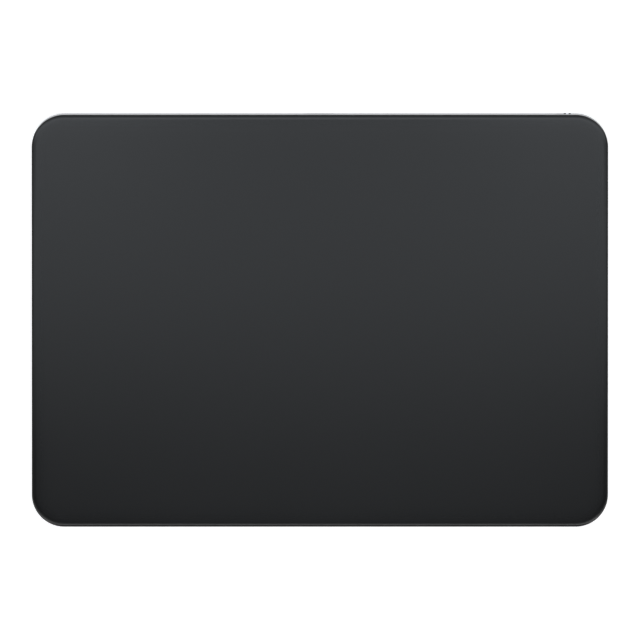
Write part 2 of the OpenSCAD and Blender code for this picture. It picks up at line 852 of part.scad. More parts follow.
module cell_tabs() {
    color("#c9c7c0") for (side = [-1, 1], pole = [-1, 1]) {
        translate([side * (cell_x0 + cell_w / 2) + pole * 2 * tab_w - tab_w / 2, cell_y1, guard_top]) {
            cube([tab_w, guard_gap + tab_lap, tab_t]);
        }
    }
}

module battery_cable() {
    color("#b5712c") across(-battery_cable_x, battery_cable_w) cable_line([
        [guard_y + guard_d - tab_lap, guard_top],
        [guard_y + guard_d, guard_top],
        deck_point(board_v0 - cable_gap, board_drop),
        deck_point(socket_v - cable_gap, board_drop)
    ]);
}

module main_board() {
    notch_w = port_w + 2 * port_gap;
    color("#1e2f3f") difference() {
        deck(board_base) linear_extrude(board_t) difference() {
            translate([board_x0, board_v0]) square([board_x1 - board_x0, board_d]);
            translate([-notch_w / 2, port_back - port_gap]) square([notch_w, board_d]);
        }
        board_screw_places(board_base) {
            translate([0, 0, -board_t]) cylinder(r = screw_r + screw_gap, h = 3 * board_t);
        }
    }
}

module shield_can() {
    color("#c4c7ca") deck(board_drop) difference() {
        block(can_x, can_v, can_w, can_d, can_h);
        translate([0, 0, -can_wall]) block(can_x, can_v, can_w - 2 * can_wall, can_d - 2 * can_wall, can_h);
    }
}

module board_chips() {
    color("#26272a") deck(board_drop) {
        for (x = [-1, 1]) {
            block(can_x + x * can_w / 4, can_v, chip_w, chip_w, chip_t);
            block(x * (can_x + can_w / 2 + chip_w), can_v, chip_w, chip_w, chip_t);
        }
    }
}

module board_sockets() {
    color("ivory") deck(board_drop) {
        block(-touch_x, socket_mid, touch_socket_w, socket_d, socket_h);
        block(-battery_cable_x, socket_mid, battery_cable_w + 2 * socket_lip, socket_d, socket_h);
        block(0, socket_mid, haptic_cable_w + 2 * socket_lip, socket_d, socket_h);
    }
}

module antenna() {
    color("#d9d3c3") deck(board_drop) {
        block(antenna_x, board_v1 - board_edge - antenna_d / 2, antenna_w, antenna_d, antenna_h);
    }
}

module board_screws() {
    color("#6f7376") board_screw_places(board_drop) screw(board_t);
}

// Round-ended shell with solder wings that lie on the main board
module port_shell() {
    color("#b9bcc0") deck(port_drop) {
        inwards(port_mouth, port_l) difference() {
            stadium(port_w, port_h);
            stadium(port_w - 2 * port_wall, port_h - 2 * port_wall);
        }
        for (side = [-1, 1], v = [port_back + wing_d, board_v1 - wing_d]) {
            x = side * (port_w + wing_w - port_wall) / 2;
            translate([0, 0, port_drop - board_drop]) block(x, v, wing_w + port_wall, wing_d, port_wall);
        }
    }
}

module port_tongue() {
    inner_w = port_w - 2 * port_wall - 2 * tongue_gap;
    inner_h = port_h - 2 * port_wall - 2 * tongue_gap;
    color("#1b1b1c") deck(port_drop) {
        inwards(port_back + tongue_block, tongue_block) stadium(inner_w, inner_h);
        inwards(port_mouth - tongue_recess, port_l - tongue_recess) {
            square([tongue_w, tongue_t], center = true);
        }
    }
}

module port_contacts() {
    v = port_back + tongue_block + contact_l / 2;
    color("#d0a74a") deck(port_drop) for (i = [0:contact_n - 1], face = [0, 1]) mirror([0, 0, face]) {
        x = (i - (contact_n - 1) / 2) * contact_pitch;
        translate([0, 0, tongue_t / 2]) block(x, v, contact_w, contact_l, contact_t);
    }
}

module haptic_bracket() {
    color("#8f9295") difference() {
        deck(bracket_base) linear_extrude(bracket_t) translate([0, haptic_v]) {
            rounded_rect(bracket_w, bracket_d, screw_edge);
        }
        bracket_screw_places(bracket_base) {
            translate([0, 0, -bracket_t]) cylinder(r = screw_r + screw_gap, h = 3 * bracket_t);
        }
    }
}

module coil_eye(step) {
    rounded_rect(coil_w - 2 * (coil_leg + step), coil_d - 2 * (coil_leg + step), coil_eye_r);
}

module haptic_coil() {
    color("#b4693a") deck(bracket_drop) linear_extrude(coil_t) translate([0, haptic_v]) difference() {
        rounded_rect(coil_w, coil_d, coil_leg + coil_eye_r);
        coil_eye(0);
    }
}

module coil_core() {
    color("#3a3b3d") deck(bracket_drop) linear_extrude(coil_t) translate([0, haptic_v]) coil_eye(core_gap);
}

module haptic_screws() {
    color("#6f7376") bracket_screw_places(bracket_drop) screw(bracket_t);
}

module haptic_cable() {
    color("#b5712c") across(0, haptic_cable_w) cable_line([
        deck_point(haptic_v + coil_d / 2 + cable_t, bracket_drop),
        deck_point(haptic_v + bracket_d / 2 + cable_gap, bracket_drop),
        deck_point(board_v0 - cable_gap, board_drop),
        deck_point(socket_v - cable_gap, board_drop)
    ]);
}

// Flat cable folded back on itself, so that the plate can move over the main board
module touch_cable() {
    upper = stiffener_drop + touch_lift;
    lower = board_drop - touch_lift + cable_t;
    bend_r = (lower - upper) / 2;
    bend_v = board_v0 - bend_lead;
    color("#b5712c") deck() across(-touch_x, touch_cable_w) {
        translate([bend_v, -upper - bend_r]) difference() {
            circle(bend_r);
            circle(bend_r - cable_t);
            translate([0, -2 * bend_r]) square(4 * bend_r);
        }
        for (drop = [upper + cable_t, lower]) translate([bend_v, -drop]) square([socket_v - bend_v, cable_t]);
    }
}

module switch_housing() {
    color("#2a2b2d") deck(board_drop) difference() {
        block(slot_x, housing_v - housing_d / 2, housing_w, housing_d, housing_h);
        translate([0, 0, board_drop - port_drop - lever_h / 2 - knob_gap]) {
            block(
                slot_x, housing_v,
                lever_w + knob_travel + 2 * knob_gap, 2 * (lever_l + knob_gap), lever_h + 2 * knob_gap
            );
        }
    }
}

// Slider: a flange behind the wall, a plate in the slot and a ridge for the finger
module power_knob() {
    plate_h = slot_h - 2 * knob_gap;
    color("#c9cbce") deck(port_drop) translate([knob_x, 0, 0]) difference() {
        union() {
            inwards(flange_v, flange_t) square([flange_w, flange_h], center = true);
            inwards(rear_face - knob_recess, slot_wall + flange_gap - knob_recess + flange_t / 2) {
                stadium(knob_w, plate_h);
            }
            inwards(rear_face + ridge_proud, ridge_proud + slot_wall) {
                square([ridge_w, ridge_h], center = true);
            }
        }
        inwards(flange_v - flange_t + lever_lap + lever_gap, flange_t) {
            square([lever_w + 2 * lever_gap, lever_h + 2 * lever_gap], center = true);
        }
    }
}

// Lies on the flange and shows in the slot when the knob is on
module switch_flag() {
    w = knob_travel - knob_gap;
    color("#49b455") deck(port_drop) translate([knob_x - knob_w / 2 - knob_gap / 2 - w / 2, 0, 0]) {
        inwards(flange_v + flag_t, flag_t) square([w, slot_h - 2 * knob_gap], center = true);
    }
}

module switch_lever() {
    color("#e6e2d6") deck(port_drop + lever_h / 2) {
        tip = flange_v - flange_t + lever_lap;
        root = housing_v - lever_l;
        block(knob_x, (tip + root) / 2, lever_w, tip - root, lever_h);
    }
}

glass_plate();
glass_bond();
sensor_board();
touch_chips();
touch_socket();
stiffener_plate();
haptic_yoke();
haptic_magnets();
enclosure();
port_plate();
rim_gasket();
bottom_cover();
cover_bond();
for (c = CORNERS) {
    foot(c);
    gel_pad(c);
    flexure_tip(c);
    flexure(c);
}
strain_gauges();
flexure_screws();
for (s = SIDES) {
    gauge_cable(s[1]);
    battery(s[1]);
}
battery_bond();
battery_board();
cell_tabs();
battery_cable();
main_board();
shield_can();
board_chips();
board_sockets();
antenna();
board_screws();
port_shell();
port_tongue();
port_contacts();
haptic_bracket();
haptic_coil();
coil_core();
haptic_screws();
haptic_cable();
touch_cable();
switch_housing();
power_knob();
switch_flag();
switch_lever();
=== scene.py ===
import json
import math

import bmesh
import bpy
from mathutils import Matrix, Vector

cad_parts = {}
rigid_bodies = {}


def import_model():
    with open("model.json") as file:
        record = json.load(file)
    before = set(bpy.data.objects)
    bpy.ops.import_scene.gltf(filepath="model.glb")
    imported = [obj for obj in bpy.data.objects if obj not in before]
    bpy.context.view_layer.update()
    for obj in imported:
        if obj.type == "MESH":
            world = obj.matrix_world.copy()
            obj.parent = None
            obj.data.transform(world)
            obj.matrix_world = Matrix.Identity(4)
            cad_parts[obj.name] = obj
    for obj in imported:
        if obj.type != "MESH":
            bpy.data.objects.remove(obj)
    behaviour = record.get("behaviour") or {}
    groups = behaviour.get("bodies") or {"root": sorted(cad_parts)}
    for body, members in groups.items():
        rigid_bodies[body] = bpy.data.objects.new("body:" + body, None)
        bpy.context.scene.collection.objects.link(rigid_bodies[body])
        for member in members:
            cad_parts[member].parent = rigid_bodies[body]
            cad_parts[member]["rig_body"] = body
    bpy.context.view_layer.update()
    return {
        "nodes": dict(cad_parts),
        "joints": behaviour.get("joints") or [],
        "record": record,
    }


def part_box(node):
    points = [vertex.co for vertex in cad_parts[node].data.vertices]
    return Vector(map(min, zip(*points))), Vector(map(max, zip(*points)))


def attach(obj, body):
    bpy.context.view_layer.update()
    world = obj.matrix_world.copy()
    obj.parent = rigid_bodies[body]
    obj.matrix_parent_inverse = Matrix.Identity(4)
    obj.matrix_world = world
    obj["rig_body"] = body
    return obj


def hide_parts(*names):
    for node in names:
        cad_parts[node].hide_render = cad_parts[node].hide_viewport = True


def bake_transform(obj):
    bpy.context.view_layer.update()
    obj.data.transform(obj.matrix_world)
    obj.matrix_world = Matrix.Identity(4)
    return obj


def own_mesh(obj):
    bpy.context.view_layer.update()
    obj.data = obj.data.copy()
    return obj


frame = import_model()
nodes = frame["nodes"]
mm = 0.001

slotOf = {row["node"]: row["material_slot"] for row in frame["record"]["subparts"]}
bodyOf = {node: nodes[node]["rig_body"] for node in nodes}
joints = {joint["name"]: joint for joint in frame["joints"]}
corners = ("front_left", "front_right", "rear_left", "rear_right")

# The glass leans, so most pieces are laid out in the glass's own frame, in millimetres:
# x across, y along the glass to the rear, z off its face
alongGlass = Vector(joints["plate_haptic"]["axis"]).normalized()
offGlass = -Vector(joints["plate_press"]["axis"]).normalized()
toDeck = Matrix((Vector((1, 0, 0)), alongGlass, offGlass))


def turnedBox(node, mid):
    points = [(toDeck @ vertex.co - mid) / mm for vertex in nodes[node].data.vertices]
    low = Vector([min(point[i] for point in points) for i in range(3)])
    high = Vector([max(point[i] for point in points) for i in range(3)])
    return low, high


glassLow, glassHigh = turnedBox("glass_plate", Vector((0, 0, 0)))
deckMid = Vector(((glassLow.x + glassHigh.x) / 2, (glassLow.y + glassHigh.y) / 2, glassHigh.z)) * mm
deckPlace = toDeck.transposed().to_4x4() @ Matrix.Translation(deckMid) @ Matrix.Scale(mm, 4)
floorPlace = Matrix.Scale(mm, 4)


def deckBox(node):
    return turnedBox(node, deckMid)


# The cover and the feet lie flat, so they keep to the part's own frame
def floorBox(node):
    low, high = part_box(node)
    return low / mm, high / mm


# The z of the glass's frame at which a point this far along it is at a height over the desk
def deckLevel(y, height):
    past = alongGlass.z * (y + deckMid.y / mm)
    return (height - past) / offGlass.z - deckMid.z / mm


# Mesh tools, with lengths in millimetres

samePoint = 1e-6
overcut = 1  # cutters reach this far past what they cut
easeBend = 0.3  # an eased edge has its middle point this far along the ease


def roundedOutline(width, depth, radius, steps=24):
    points = []
    for quarter, (sideX, sideY) in enumerate(((1, 1), (-1, 1), (-1, -1), (1, -1))):
        mid = Vector((sideX * (width / 2 - radius), sideY * (depth / 2 - radius)))
        for step in range(steps + 1):
            angle = math.radians(90) * (quarter + step / steps)
            point = mid + radius * Vector((math.cos(angle), math.sin(angle)))
            if not points or (point - points[-1]).length > samePoint:
                points.append(point)
    if (points[0] - points[-1]).length < samePoint:
        points.pop()
    return points


# The cosine and sine at each step of a quarter turn
def quarterTurn(steps):
    angles = [math.radians(90 * step / steps) for step in range(steps + 1)]
    return [(math.cos(angle), math.sin(angle)) for angle in angles]


# An edge eased off at a level, as pairs of inset and level, from its side to its face
def easedEdge(ease, level, facing=1):
    bend = ease * easeBend
    return [(0, level - facing * ease), (bend, level - facing * bend), (ease, level)]


# Rings that lie flat, as pairs of inset and z, round an outline that gets smaller with the inset
def flatRings(size, radius, profile, mid=(0, 0), steps=24):
    rings = []
    for inset, z in profile:
        outline = roundedOutline(size[0] - 2 * inset, size[1] - 2 * inset, radius - inset, steps)
        rings.append([Vector((p.x + mid[0], p.y + mid[1], z)) for p in outline])
    return rings


# Rings that stand in the rear wall, as pairs of inset and y, round an outline in x and z
def wallRings(size, radius, profile, mid, steps=12):
    rings = flatRings(size, radius, profile, mid, steps)
    return [[p.xzy for p in ring] for ring in rings]


# A ring that is moved off the glass until it is level, at a height over the desk
def levelRing(ring, height):
    return [Vector((p.x, p.y, deckLevel(p.y, height))) for p in ring]


# Neighbouring rings are joined by quads; open ends get a cap
def loft(rings, closed=False):
    mesh = bmesh.new()
    rows = [[mesh.verts.new(point) for point in ring] for ring in rings]
    pairs = list(zip(rows, rows[1:]))
    if closed:
        pairs.append((rows[-1], rows[0]))
    for one, two in pairs:
        for i in range(len(one)):
            j = (i + 1) % len(one)
            mesh.faces.new((one[i], one[j], two[j], two[i]))
    if not closed:
        mesh.faces.new(rows[0][::-1])
        mesh.faces.new(rows[-1])
    bmesh.ops.recalc_face_normals(mesh, faces=mesh.faces)
    return mesh


def pieceFrom(name, mesh, place=deckPlace):
    mesh.transform(place)
    data = bpy.data.meshes.new(name)
    mesh.to_mesh(data)
    mesh.free()
    piece = bpy.data.objects.new(name, data)
    bpy.context.scene.collection.objects.link(piece)
    return piece


def combine(piece, tool, operation):
    change = piece.modifiers.new("combine", "BOOLEAN")
    change.operation = operation
    change.solver = "EXACT"
    change.object = tool
    depsgraph = bpy.context.evaluated_depsgraph_get()
    data = bpy.data.meshes.new_from_object(piece.evaluated_get(depsgraph))
    piece.modifiers.clear()
    worn = piece.data
    piece.data = data
    bpy.data.meshes.remove(worn)
    bpy.data.objects.remove(tool)


def carve(piece, rings, place=deckPlace):
    combine(piece, pieceFrom("carver", loft(rings), place), "DIFFERENCE")


def weldOn(piece, rings, place=deckPlace):
    combine(piece, pieceFrom("welder", loft(rings), place), "UNION")


def smoothOver(piece, finish, sharpAngle=32):
    piece.data.materials.clear()
    piece.data.materials.append(finish.material)
    piece.data.shade_smooth()
    piece.data.set_sharp_from_angle(angle=math.radians(sharpAngle))
    even = piece.modifiers.new("evenNormals", "WEIGHTED_NORMAL")
    even.keep_sharp = True


# The piece takes the place of a node: it takes the given finish, joins the node's body, and the node is
# hidden
def standFor(piece, node, finish):
    smoothOver(piece, finish)
    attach(piece, bodyOf[node])
    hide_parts(node)


# Shader tools

class Sock:
    # One output of a node: sums on it add Math nodes
    def __init__(self, finish, socket):
        self.finish = finish
        self.socket = socket

    def maths(self, operation, *values):
        return self.finish.node("ShaderNodeMath", {"operation": operation}, dict(enumerate(values)))

    def __add__(self, other):
        return self.maths("ADD", self, other)

    def __radd__(self, other):
        return self.maths("ADD", other, self)

    def __sub__(self, other):
        return self.maths("SUBTRACT", self, other)

    def __rsub__(self, other):
        return self.maths("SUBTRACT", other, self)

    def __mul__(self, other):
        return self.maths("MULTIPLY", self, other)

    def __rmul__(self, other):
        return self.maths("MULTIPLY", other, self)

    def __truediv__(self, other):
        return self.maths("DIVIDE", self, other)

    def __rtruediv__(self, other):
        return self.maths("DIVIDE", other, self)

    def __pow__(self, other):
        return self.maths("POWER", self, other)

    def __rpow__(self, other):
        return self.maths("POWER", other, self)

    def __abs__(self):
        return self.maths("ABSOLUTE", self)

    def atLeast(self, other):
        return self.maths("MAXIMUM", self, other)

    def ripple(self, pitch):
        return self.maths("SINE", self * (2 * math.pi / pitch)) * 0.5 + 0.5


class Finish:
    def __init__(self, name, fixed):
        self.material = bpy.data.materials.new(name)
        self.material.use_nodes = True
        self.tree = self.material.node_tree
        self.shader = self.tree.nodes["Principled BSDF"]
        for key, value in fixed.items():
            self.shader.inputs[key].default_value = value
        self.at = self.node("ShaderNodeTexCoord", {}, {}, "Object")

    def node(self, kind, settings, values, out=0):
        made = self.tree.nodes.new(kind)
        for key, value in settings.items():
            setattr(made, key, value)
        for key, value in values.items():
            self.feed(made.inputs[key], value)
        return Sock(self, made.outputs[out])

    def feed(self, socket, value):
        if isinstance(value, Sock):
            self.tree.links.new(value.socket, socket)
        else:
            socket.default_value = value

    def give(self, key, value):
        self.feed(self.shader.inputs[key], value)

    # Blotches of this width in millimetres, drawn out by stretch
    def noise(self, size, detail=2, stretch=None):
        at = self.at
        if stretch:
            at = self.node("ShaderNodeVectorMath", {"operation": "MULTIPLY"}, {0: at, 1: stretch})
        values = {"Vector": at, "Scale": 1 / (size * mm), "Detail": detail}
        return self.node("ShaderNodeTexNoise", {}, values)

    def cells(self, size):
        return self.node("ShaderNodeTexVoronoi", {}, {"Vector": self.at, "Scale": 1 / (size * mm)})

    def blend(self, factor, one, two):
        return self.node("ShaderNodeMix", {"data_type": "RGBA"}, {0: factor, 6: one, 7: two}, 2)

    # 0 below low and 1 above high
    def step(self, value, low, high):
        values = {"Value": value, "From Min": low, "From Max": high}
        return self.node("ShaderNodeMapRange", {"interpolation_type": "SMOOTHSTEP"}, values)

    # Millimetres along one axis of the glass's frame
    def deckAxis(self, index):
        values = {0: self.at, 1: toDeck[index]}
        reach = self.node("ShaderNodeVectorMath", {"operation": "DOT_PRODUCT"}, values, 1)
        return reach / mm - deckMid[index] / mm

    # Height runs from 0 to 1, and depth is in millimetres
    def relief(self, height, depth, strength):
        values = {"Height": height, "Distance": depth * mm, "Strength": strength}
        self.give("Normal", self.node("ShaderNodeBump", {}, values))

    # Colour, roughness and relief that all follow one mask
    def follow(self, mask, look):
        self.give("Base Color", self.blend(mask, look["dark"], look["light"]))
        self.give("Roughness", look["roughness"] + mask * look["spread"])
        self.relief(mask, *look["relief"])


# Finishes: sizes in millimetres, a spread is how far the roughness varies, and relief is a depth in
# millimetres with a strength

glassLook = {
    "dark": (0.0021, 0.0023, 0.0026, 1),
    "light": (0.0031, 0.0033, 0.0037, 1),
    "cloudSize": 34,
    "cloudSpread": 0.02,
    "etchSize": 0.09,
    "etchSpread": 0.05,
    "roughness": 0.29,
    "rimRoughness": 0.21,
    "rimDrop": (0.002, 0.09),  # the rim's polish sets in between these depths below the face
    "relief": (0.002, 0.12),
}


def satinGlass(look):
    finish = Finish("satinBlackGlass", {"IOR": 1.52})
    cloud = finish.noise(look["cloudSize"], 3)
    etch = finish.noise(look["etchSize"], 2)
    rim = finish.step(0 - finish.deckAxis(2), *look["rimDrop"])
    polish = rim * (look["roughness"] - look["rimRoughness"])
    etched = look["roughness"] + (etch - 0.5) * look["etchSpread"]
    finish.give("Base Color", finish.blend(cloud, look["dark"], look["light"]))
    finish.give("Roughness", etched + (cloud - 0.5) * look["cloudSpread"] - polish)
    finish.relief(etch, *look["relief"])
    return finish


bodyLook = {"dark": (0.395, 0.402, 0.412, 1), "light": (0.455, 0.462, 0.473, 1), "roughness": 0.50}
knobLook = {"dark": (0.76, 0.77, 0.785, 1), "light": (0.85, 0.86, 0.875, 1), "roughness": 0.30}
blasting = {
    "cloudSize": 16,
    "cloudSpread": 0.04,
    "blastSize": 0.10,
    "blastSpread": 0.18,
    "pitSize": 0.32,
    "relief": (0.006, 0.30),
}


# Bead-blasted and anodised: a fine even sparkle over soft clouds
def blastedMetal(name, look):
    finish = Finish(name, {"Metallic": 1})
    cloud = finish.noise(blasting["cloudSize"], 3)
    blast = finish.noise(blasting["blastSize"], 2)
    pits = finish.noise(blasting["pitSize"], 1)
    blasted = look["roughness"] + (blast - 0.5) * blasting["blastSpread"]
    finish.give("Base Color", finish.blend(cloud * 0.7 + blast * 0.3, look["dark"], look["light"]))
    finish.give("Roughness", blasted + (cloud - 0.5) * blasting["cloudSpread"])
    finish.relief(blast * 0.65 + pits * 0.35, *blasting["relief"])
    return finish


coverLook = {
    "dark": (0.50, 0.51, 0.525, 1),
    "light": (0.58, 0.59, 0.605, 1),
    "sparkSize": 0.22,
    "roughness": 0.52,
    "ior": 1.46,
}
# Near-black colour for the ends beside the knob's ridge: painted shadow
ridgeShadeLook = {
    "dark": (0.004, 0.004, 0.0045, 1),
    "light": (0.009, 0.009, 0.0095, 1),
    "sparkSize": 0.1,
    "roughness": 0.55,
    "ior": 1.25,
}
moulding = {"cloudSize": 22, "spread": 0.22, "relief": (0.010, 0.40)}


# Moulded plastic with a spark-eroded grain
def mouldedPlastic(name, look):
    finish = Finish(name, {"IOR": look["ior"]})
    cloud = finish.noise(moulding["cloudSize"], 3)
    spark = finish.noise(look["sparkSize"], 3)
    finish.give("Base Color", finish.blend(cloud * 0.5 + spark * 0.5, look["dark"], look["light"]))
    finish.give("Roughness", look["roughness"] + (spark - 0.5) * moulding["spread"])
    finish.relief(spark, *moulding["relief"])
    return finish


footLook = {
    "dark": (0.36, 0.365, 0.37, 1),
    "light": (0.46, 0.465, 0.47, 1),
    "speckleSize": 0.16,
    "scuffSize": 1.4,
    "roughness": 0.72,
    "spread": 0.2,
    "relief": (0.015, 0.5),
}


def footRubber(look):
    finish = Finish("footRubber", {"IOR": 1.45, "Sheen Weight": 0.15})
    speckle = finish.noise(look["speckleSize"], 3)
    scuff = finish.noise(look["scuffSize"], 4)
    finish.give("Base Color", finish.blend(speckle * 0.4 + scuff * 0.6, look["dark"], look["light"]))
    finish.give("Roughness", look["roughness"] + (scuff - 0.5) * look["spread"])
    finish.relief(speckle, *look["relief"])
    return finish


foamLook = {
    "dark": (0.004, 0.004, 0.0042, 1),
    "light": (0.016, 0.016, 0.017, 1),
    "poreSize": 0.14,
    "roughness": 0.8,
    "spread": 0.15,
    "relief": (0.02, 0.6),
}


def gasketFoam(look):
    finish = Finish("gasketFoam", {"IOR": 1.4})
    finish.follow(finish.cells(look["poreSize"]), look)
    return finish


bondLook = {
    "dark": (0.035, 0.035, 0.036, 1),
    "light": (0.07, 0.07, 0.072, 1),
    "smearSize": 2.5,
    "drawnOut": (1, 0.25, 1),
    "roughness": 0.3,
    "spread": 0.25,
    "coat": 0.6,
    "relief": (0.01, 0.3),
}


def bondFilm(look):
    finish = Finish("bondFilm", {"IOR": 1.48, "Coat Roughness": 0.2})
    smear = finish.noise(look["smearSize"], 3, look["drawnOut"])
    finish.follow(smear, look)
    finish.give("Coat Weight", smear * look["coat"])
    return finish


boardLook = {
    "mask": (0.006, 0.042, 0.022, 1),
    "trace": (0.014, 0.085, 0.040, 1),
    "pad": (0.72, 0.50, 0.20, 1),
    "patchSize": 5,
    "patchEdge": (0.46, 0.50),
    "tracePitch": 0.6,
    "traceEdge": (0.55, 0.75),
    "holePitch": 2.2,
    "holeEdge": (0.09, 0.12),
    "grainSize": 0.4,
    "roughness": 0.34,
    "spread": 0.12,
    "padPolish": 0.1,
    "relief": (0.03, 0.5),
}


# Solder mask over runs of copper, with bare plated holes
def boardMask(look):
    finish = Finish("boardMask", {"IOR": 1.5})
    patch = finish.step(finish.noise(look["patchSize"], 1), *look["patchEdge"])
    runsAcross = finish.step(finish.deckAxis(1).ripple(look["tracePitch"]), *look["traceEdge"])
    runsAlong = finish.step(finish.deckAxis(0).ripple(look["tracePitch"]), *look["traceEdge"])
    runs = patch * runsAcross + (1 - patch) * runsAlong
    holes = 1 - finish.step(finish.cells(look["holePitch"]), *look["holeEdge"])
    mask = finish.blend(runs, look["mask"], look["trace"])
    grain = finish.noise(look["grainSize"], 2)
    finish.give("Base Color", finish.blend(holes, mask, look["pad"]))
    finish.give("Metallic", holes)
    finish.give("Roughness", look["roughness"] + grain * look["spread"] - holes * look["padPolish"])
    finish.relief(runs * 0.7 + holes * 0.3, *look["relief"])
    return finish


chipLook = {
    "dark": (0.010, 0.010, 0.011, 1),
    "light": (0.030, 0.030, 0.032, 1),
    "gritSize": 0.12,
    "roughness": 0.45,
    "spread": 0.25,
    "relief": (0.012, 0.4),
}


def chipEpoxy(look):
    finish = Finish("chipEpoxy", {"IOR": 1.5})
    finish.follow(finish.noise(look["gritSize"], 3), look)
    return finish


nylonLook = {
    "dark": (0.60, 0.57, 0.49, 1),
    "light": (0.72, 0.69, 0.61, 1),
    "pin": (0.40, 0.38, 0.33, 1),
    "pinPitch": 0.5,
    "pinEdge": (0.72, 0.86),
    "grainSize": 0.2,
    "roughness": 0.5,
    "spread": 0.2,
    "relief": (0.03, 0.4),
}


# Pale nylon with a row of pins behind each cable
def socketNylon(look):
    finish = Finish("socketNylon", {"IOR": 1.5, "Subsurface Weight": 0.1, "Subsurface Scale": 0.0004})
    pins = finish.step(finish.deckAxis(0).ripple(look["pinPitch"]), *look["pinEdge"])
    grain = finish.noise(look["grainSize"], 3)
    nylon = finish.blend(grain, look["dark"], look["light"])
    finish.give("Base Color", finish.blend(pins * 0.5, nylon, look["pin"]))
    finish.give("Roughness", look["roughness"] + (grain - 0.5) * look["spread"])
    finish.relief(grain * 0.4 + (1 - pins) * 0.6, *look["relief"])
    return finish


steelLook = {"dark": (0.44, 0.445, 0.455, 1), "light": (0.60, 0.605, 0.615, 1), "roughness": 0.34}
magnetLook = {"dark": (0.56, 0.55, 0.52, 1), "light": (0.70, 0.69, 0.66, 1), "roughness": 0.16}
tabLook = {"dark": (0.60, 0.59, 0.56, 1), "light": (0.74, 0.73, 0.70, 1), "roughness": 0.28}
goldLook = {"dark": (0.74, 0.50, 0.16, 1), "light": (0.86, 0.64, 0.26, 1), "roughness": 0.2}
rolling = {
    "streakSize": 0.5,
    "drawnOut": (0.06, 1, 1),
    "cloudSize": 6,
    "spread": 0.25,
    "relief": (0.006, 0.35),
}


# Rolled sheet: streaks along the rolling direction
def rolledMetal(name, look):
    finish = Finish(name, {"Metallic": 1})
    streak = finish.noise(rolling["streakSize"], 3, rolling["drawnOut"])
    cloud = finish.noise(rolling["cloudSize"], 2)
    finish.give("Base Color", finish.blend(streak * 0.6 + cloud * 0.4, look["dark"], look["light"]))
    finish.give("Roughness", look["roughness"] + (streak - 0.5) * rolling["spread"])
    finish.relief(streak, *rolling["relief"])
    return finish


screwLook = {
    "dark": (0.20, 0.205, 0.215, 1),
    "light": (0.38, 0.385, 0.395, 1),
    "turnedSize": 0.12,
    "turnedSpread": 0.1,
    "drawnOut": (1, 1, 0.3),
    "oxideSize": 0.8,
    "oxideSpread": 0.2,
    "roughness": 0.3,
    "relief": (0.01, 0.35),
}


# Turned steel with a dull black oxide in the hollows
def screwSteel(look):
    finish = Finish("screwSteel", {"Metallic": 1})
    turned = finish.noise(look["turnedSize"], 2, look["drawnOut"])
    oxide = finish.noise(look["oxideSize"], 3)
    dulled = look["roughness"] + oxide * look["oxideSpread"]
    finish.give("Base Color", finish.blend(oxide, look["dark"], look["light"]))
    finish.give("Roughness", dulled + (turned - 0.5) * look["turnedSpread"])
    finish.relief(turned, *look["relief"])
    return finish


coilLook = {
    "dark": (0.26, 0.075, 0.025, 1),
    "light": (0.70, 0.28, 0.12, 1),
    "wire": 0.22,
    "eyeRadius": 2,
    "tintSize": 3,
    "roughness": 0.22,
    "spread": 0.2,
    "coat": 0.5,
    "coatSpread": 0.3,
    "relief": (0.08, 0.8),
}


# Turns of enamelled wire, which follow the coil's own outline
def coilCopper(look):
    finish = Finish("coilCopper", {"Metallic": 1, "Coat Roughness": 0.1})
    low, high = deckBox("coil_core")
    mid = (low + high) / 2
    half = (high - low) / 2
    outX = (abs(finish.deckAxis(0) - mid.x) - (half.x - look["eyeRadius"])).atLeast(0)
    outY = (abs(finish.deckAxis(1) - mid.y) - (half.y - look["eyeRadius"])).atLeast(0)
    turns = ((outX * outX + outY * outY) ** 0.5).ripple(look["wire"])
    tint = finish.noise(look["tintSize"], 2)
    finish.give("Base Color", finish.blend(turns * 0.75 + tint * 0.25, look["dark"], look["light"]))
    finish.give("Roughness", look["roughness"] + (1 - turns) * look["spread"])
    finish.give("Coat Weight", look["coat"] + tint * look["coatSpread"])
    finish.relief(turns, *look["relief"])
    return finish


gelLook = {
    "dark": (0.46, 0.54, 0.42, 1),
    "light": (0.60, 0.67, 0.54, 1),
    "cloudSize": 1.2,
    "roughness": 0.12,
    "spread": 0.15,
    "relief": (0.03, 0.3),
}


def clearGel(look):
    finish = Finish("clearGel", {"IOR": 1.41, "Transmission Weight": 0.5})
    finish.follow(finish.noise(look["cloudSize"], 3), look)
    return finish


foilLook = {
    "dark": (0.050, 0.051, 0.055, 1),
    "light": (0.11, 0.112, 0.118, 1),
    "creaseSize": 5,
    "drawnOut": (1, 0.4, 1),
    "fineSize": 0.3,
    "metal": 0.4,
    "metalSpread": 0.3,
    "roughness": 0.34,
    "spread": 0.12,
    "coat": 0.4,
    "relief": (0.06, 0.5),
}


# Pouch foil: pressed wrinkles and a soft sheen
def pouchFoil(look):
    finish = Finish("pouchFoil", {"IOR": 1.5, "Coat Roughness": 0.25})
    crease = finish.noise(look["creaseSize"], 4, look["drawnOut"])
    fine = finish.noise(look["fineSize"], 2)
    finish.give("Base Color", finish.blend(crease, look["dark"], look["light"]))
    finish.give("Metallic", look["metal"] + crease * look["metalSpread"])
    finish.give("Roughness", look["roughness"] + fine * look["spread"])
    finish.give("Coat Weight", crease * look["coat"])
    finish.relief(crease * 0.8 + fine * 0.2, *look["relief"])
    return finish


cableLook = {
    "dark": (0.30, 0.10, 0.012, 1),
    "light": (0.40, 0.15, 0.022, 1),
    "copper": (0.60, 0.24, 0.06, 1),
    "runPitch": 0.45,
    "runEdge": (0.4, 0.6),
    "hazeSize": 1.5,
    "metal": 0.35,
    "roughness": 0.26,
    "spread": 0.12,
    "coat": 0.5,
    "coatSpread": 0.3,
    "relief": (0.012, 0.4),
}


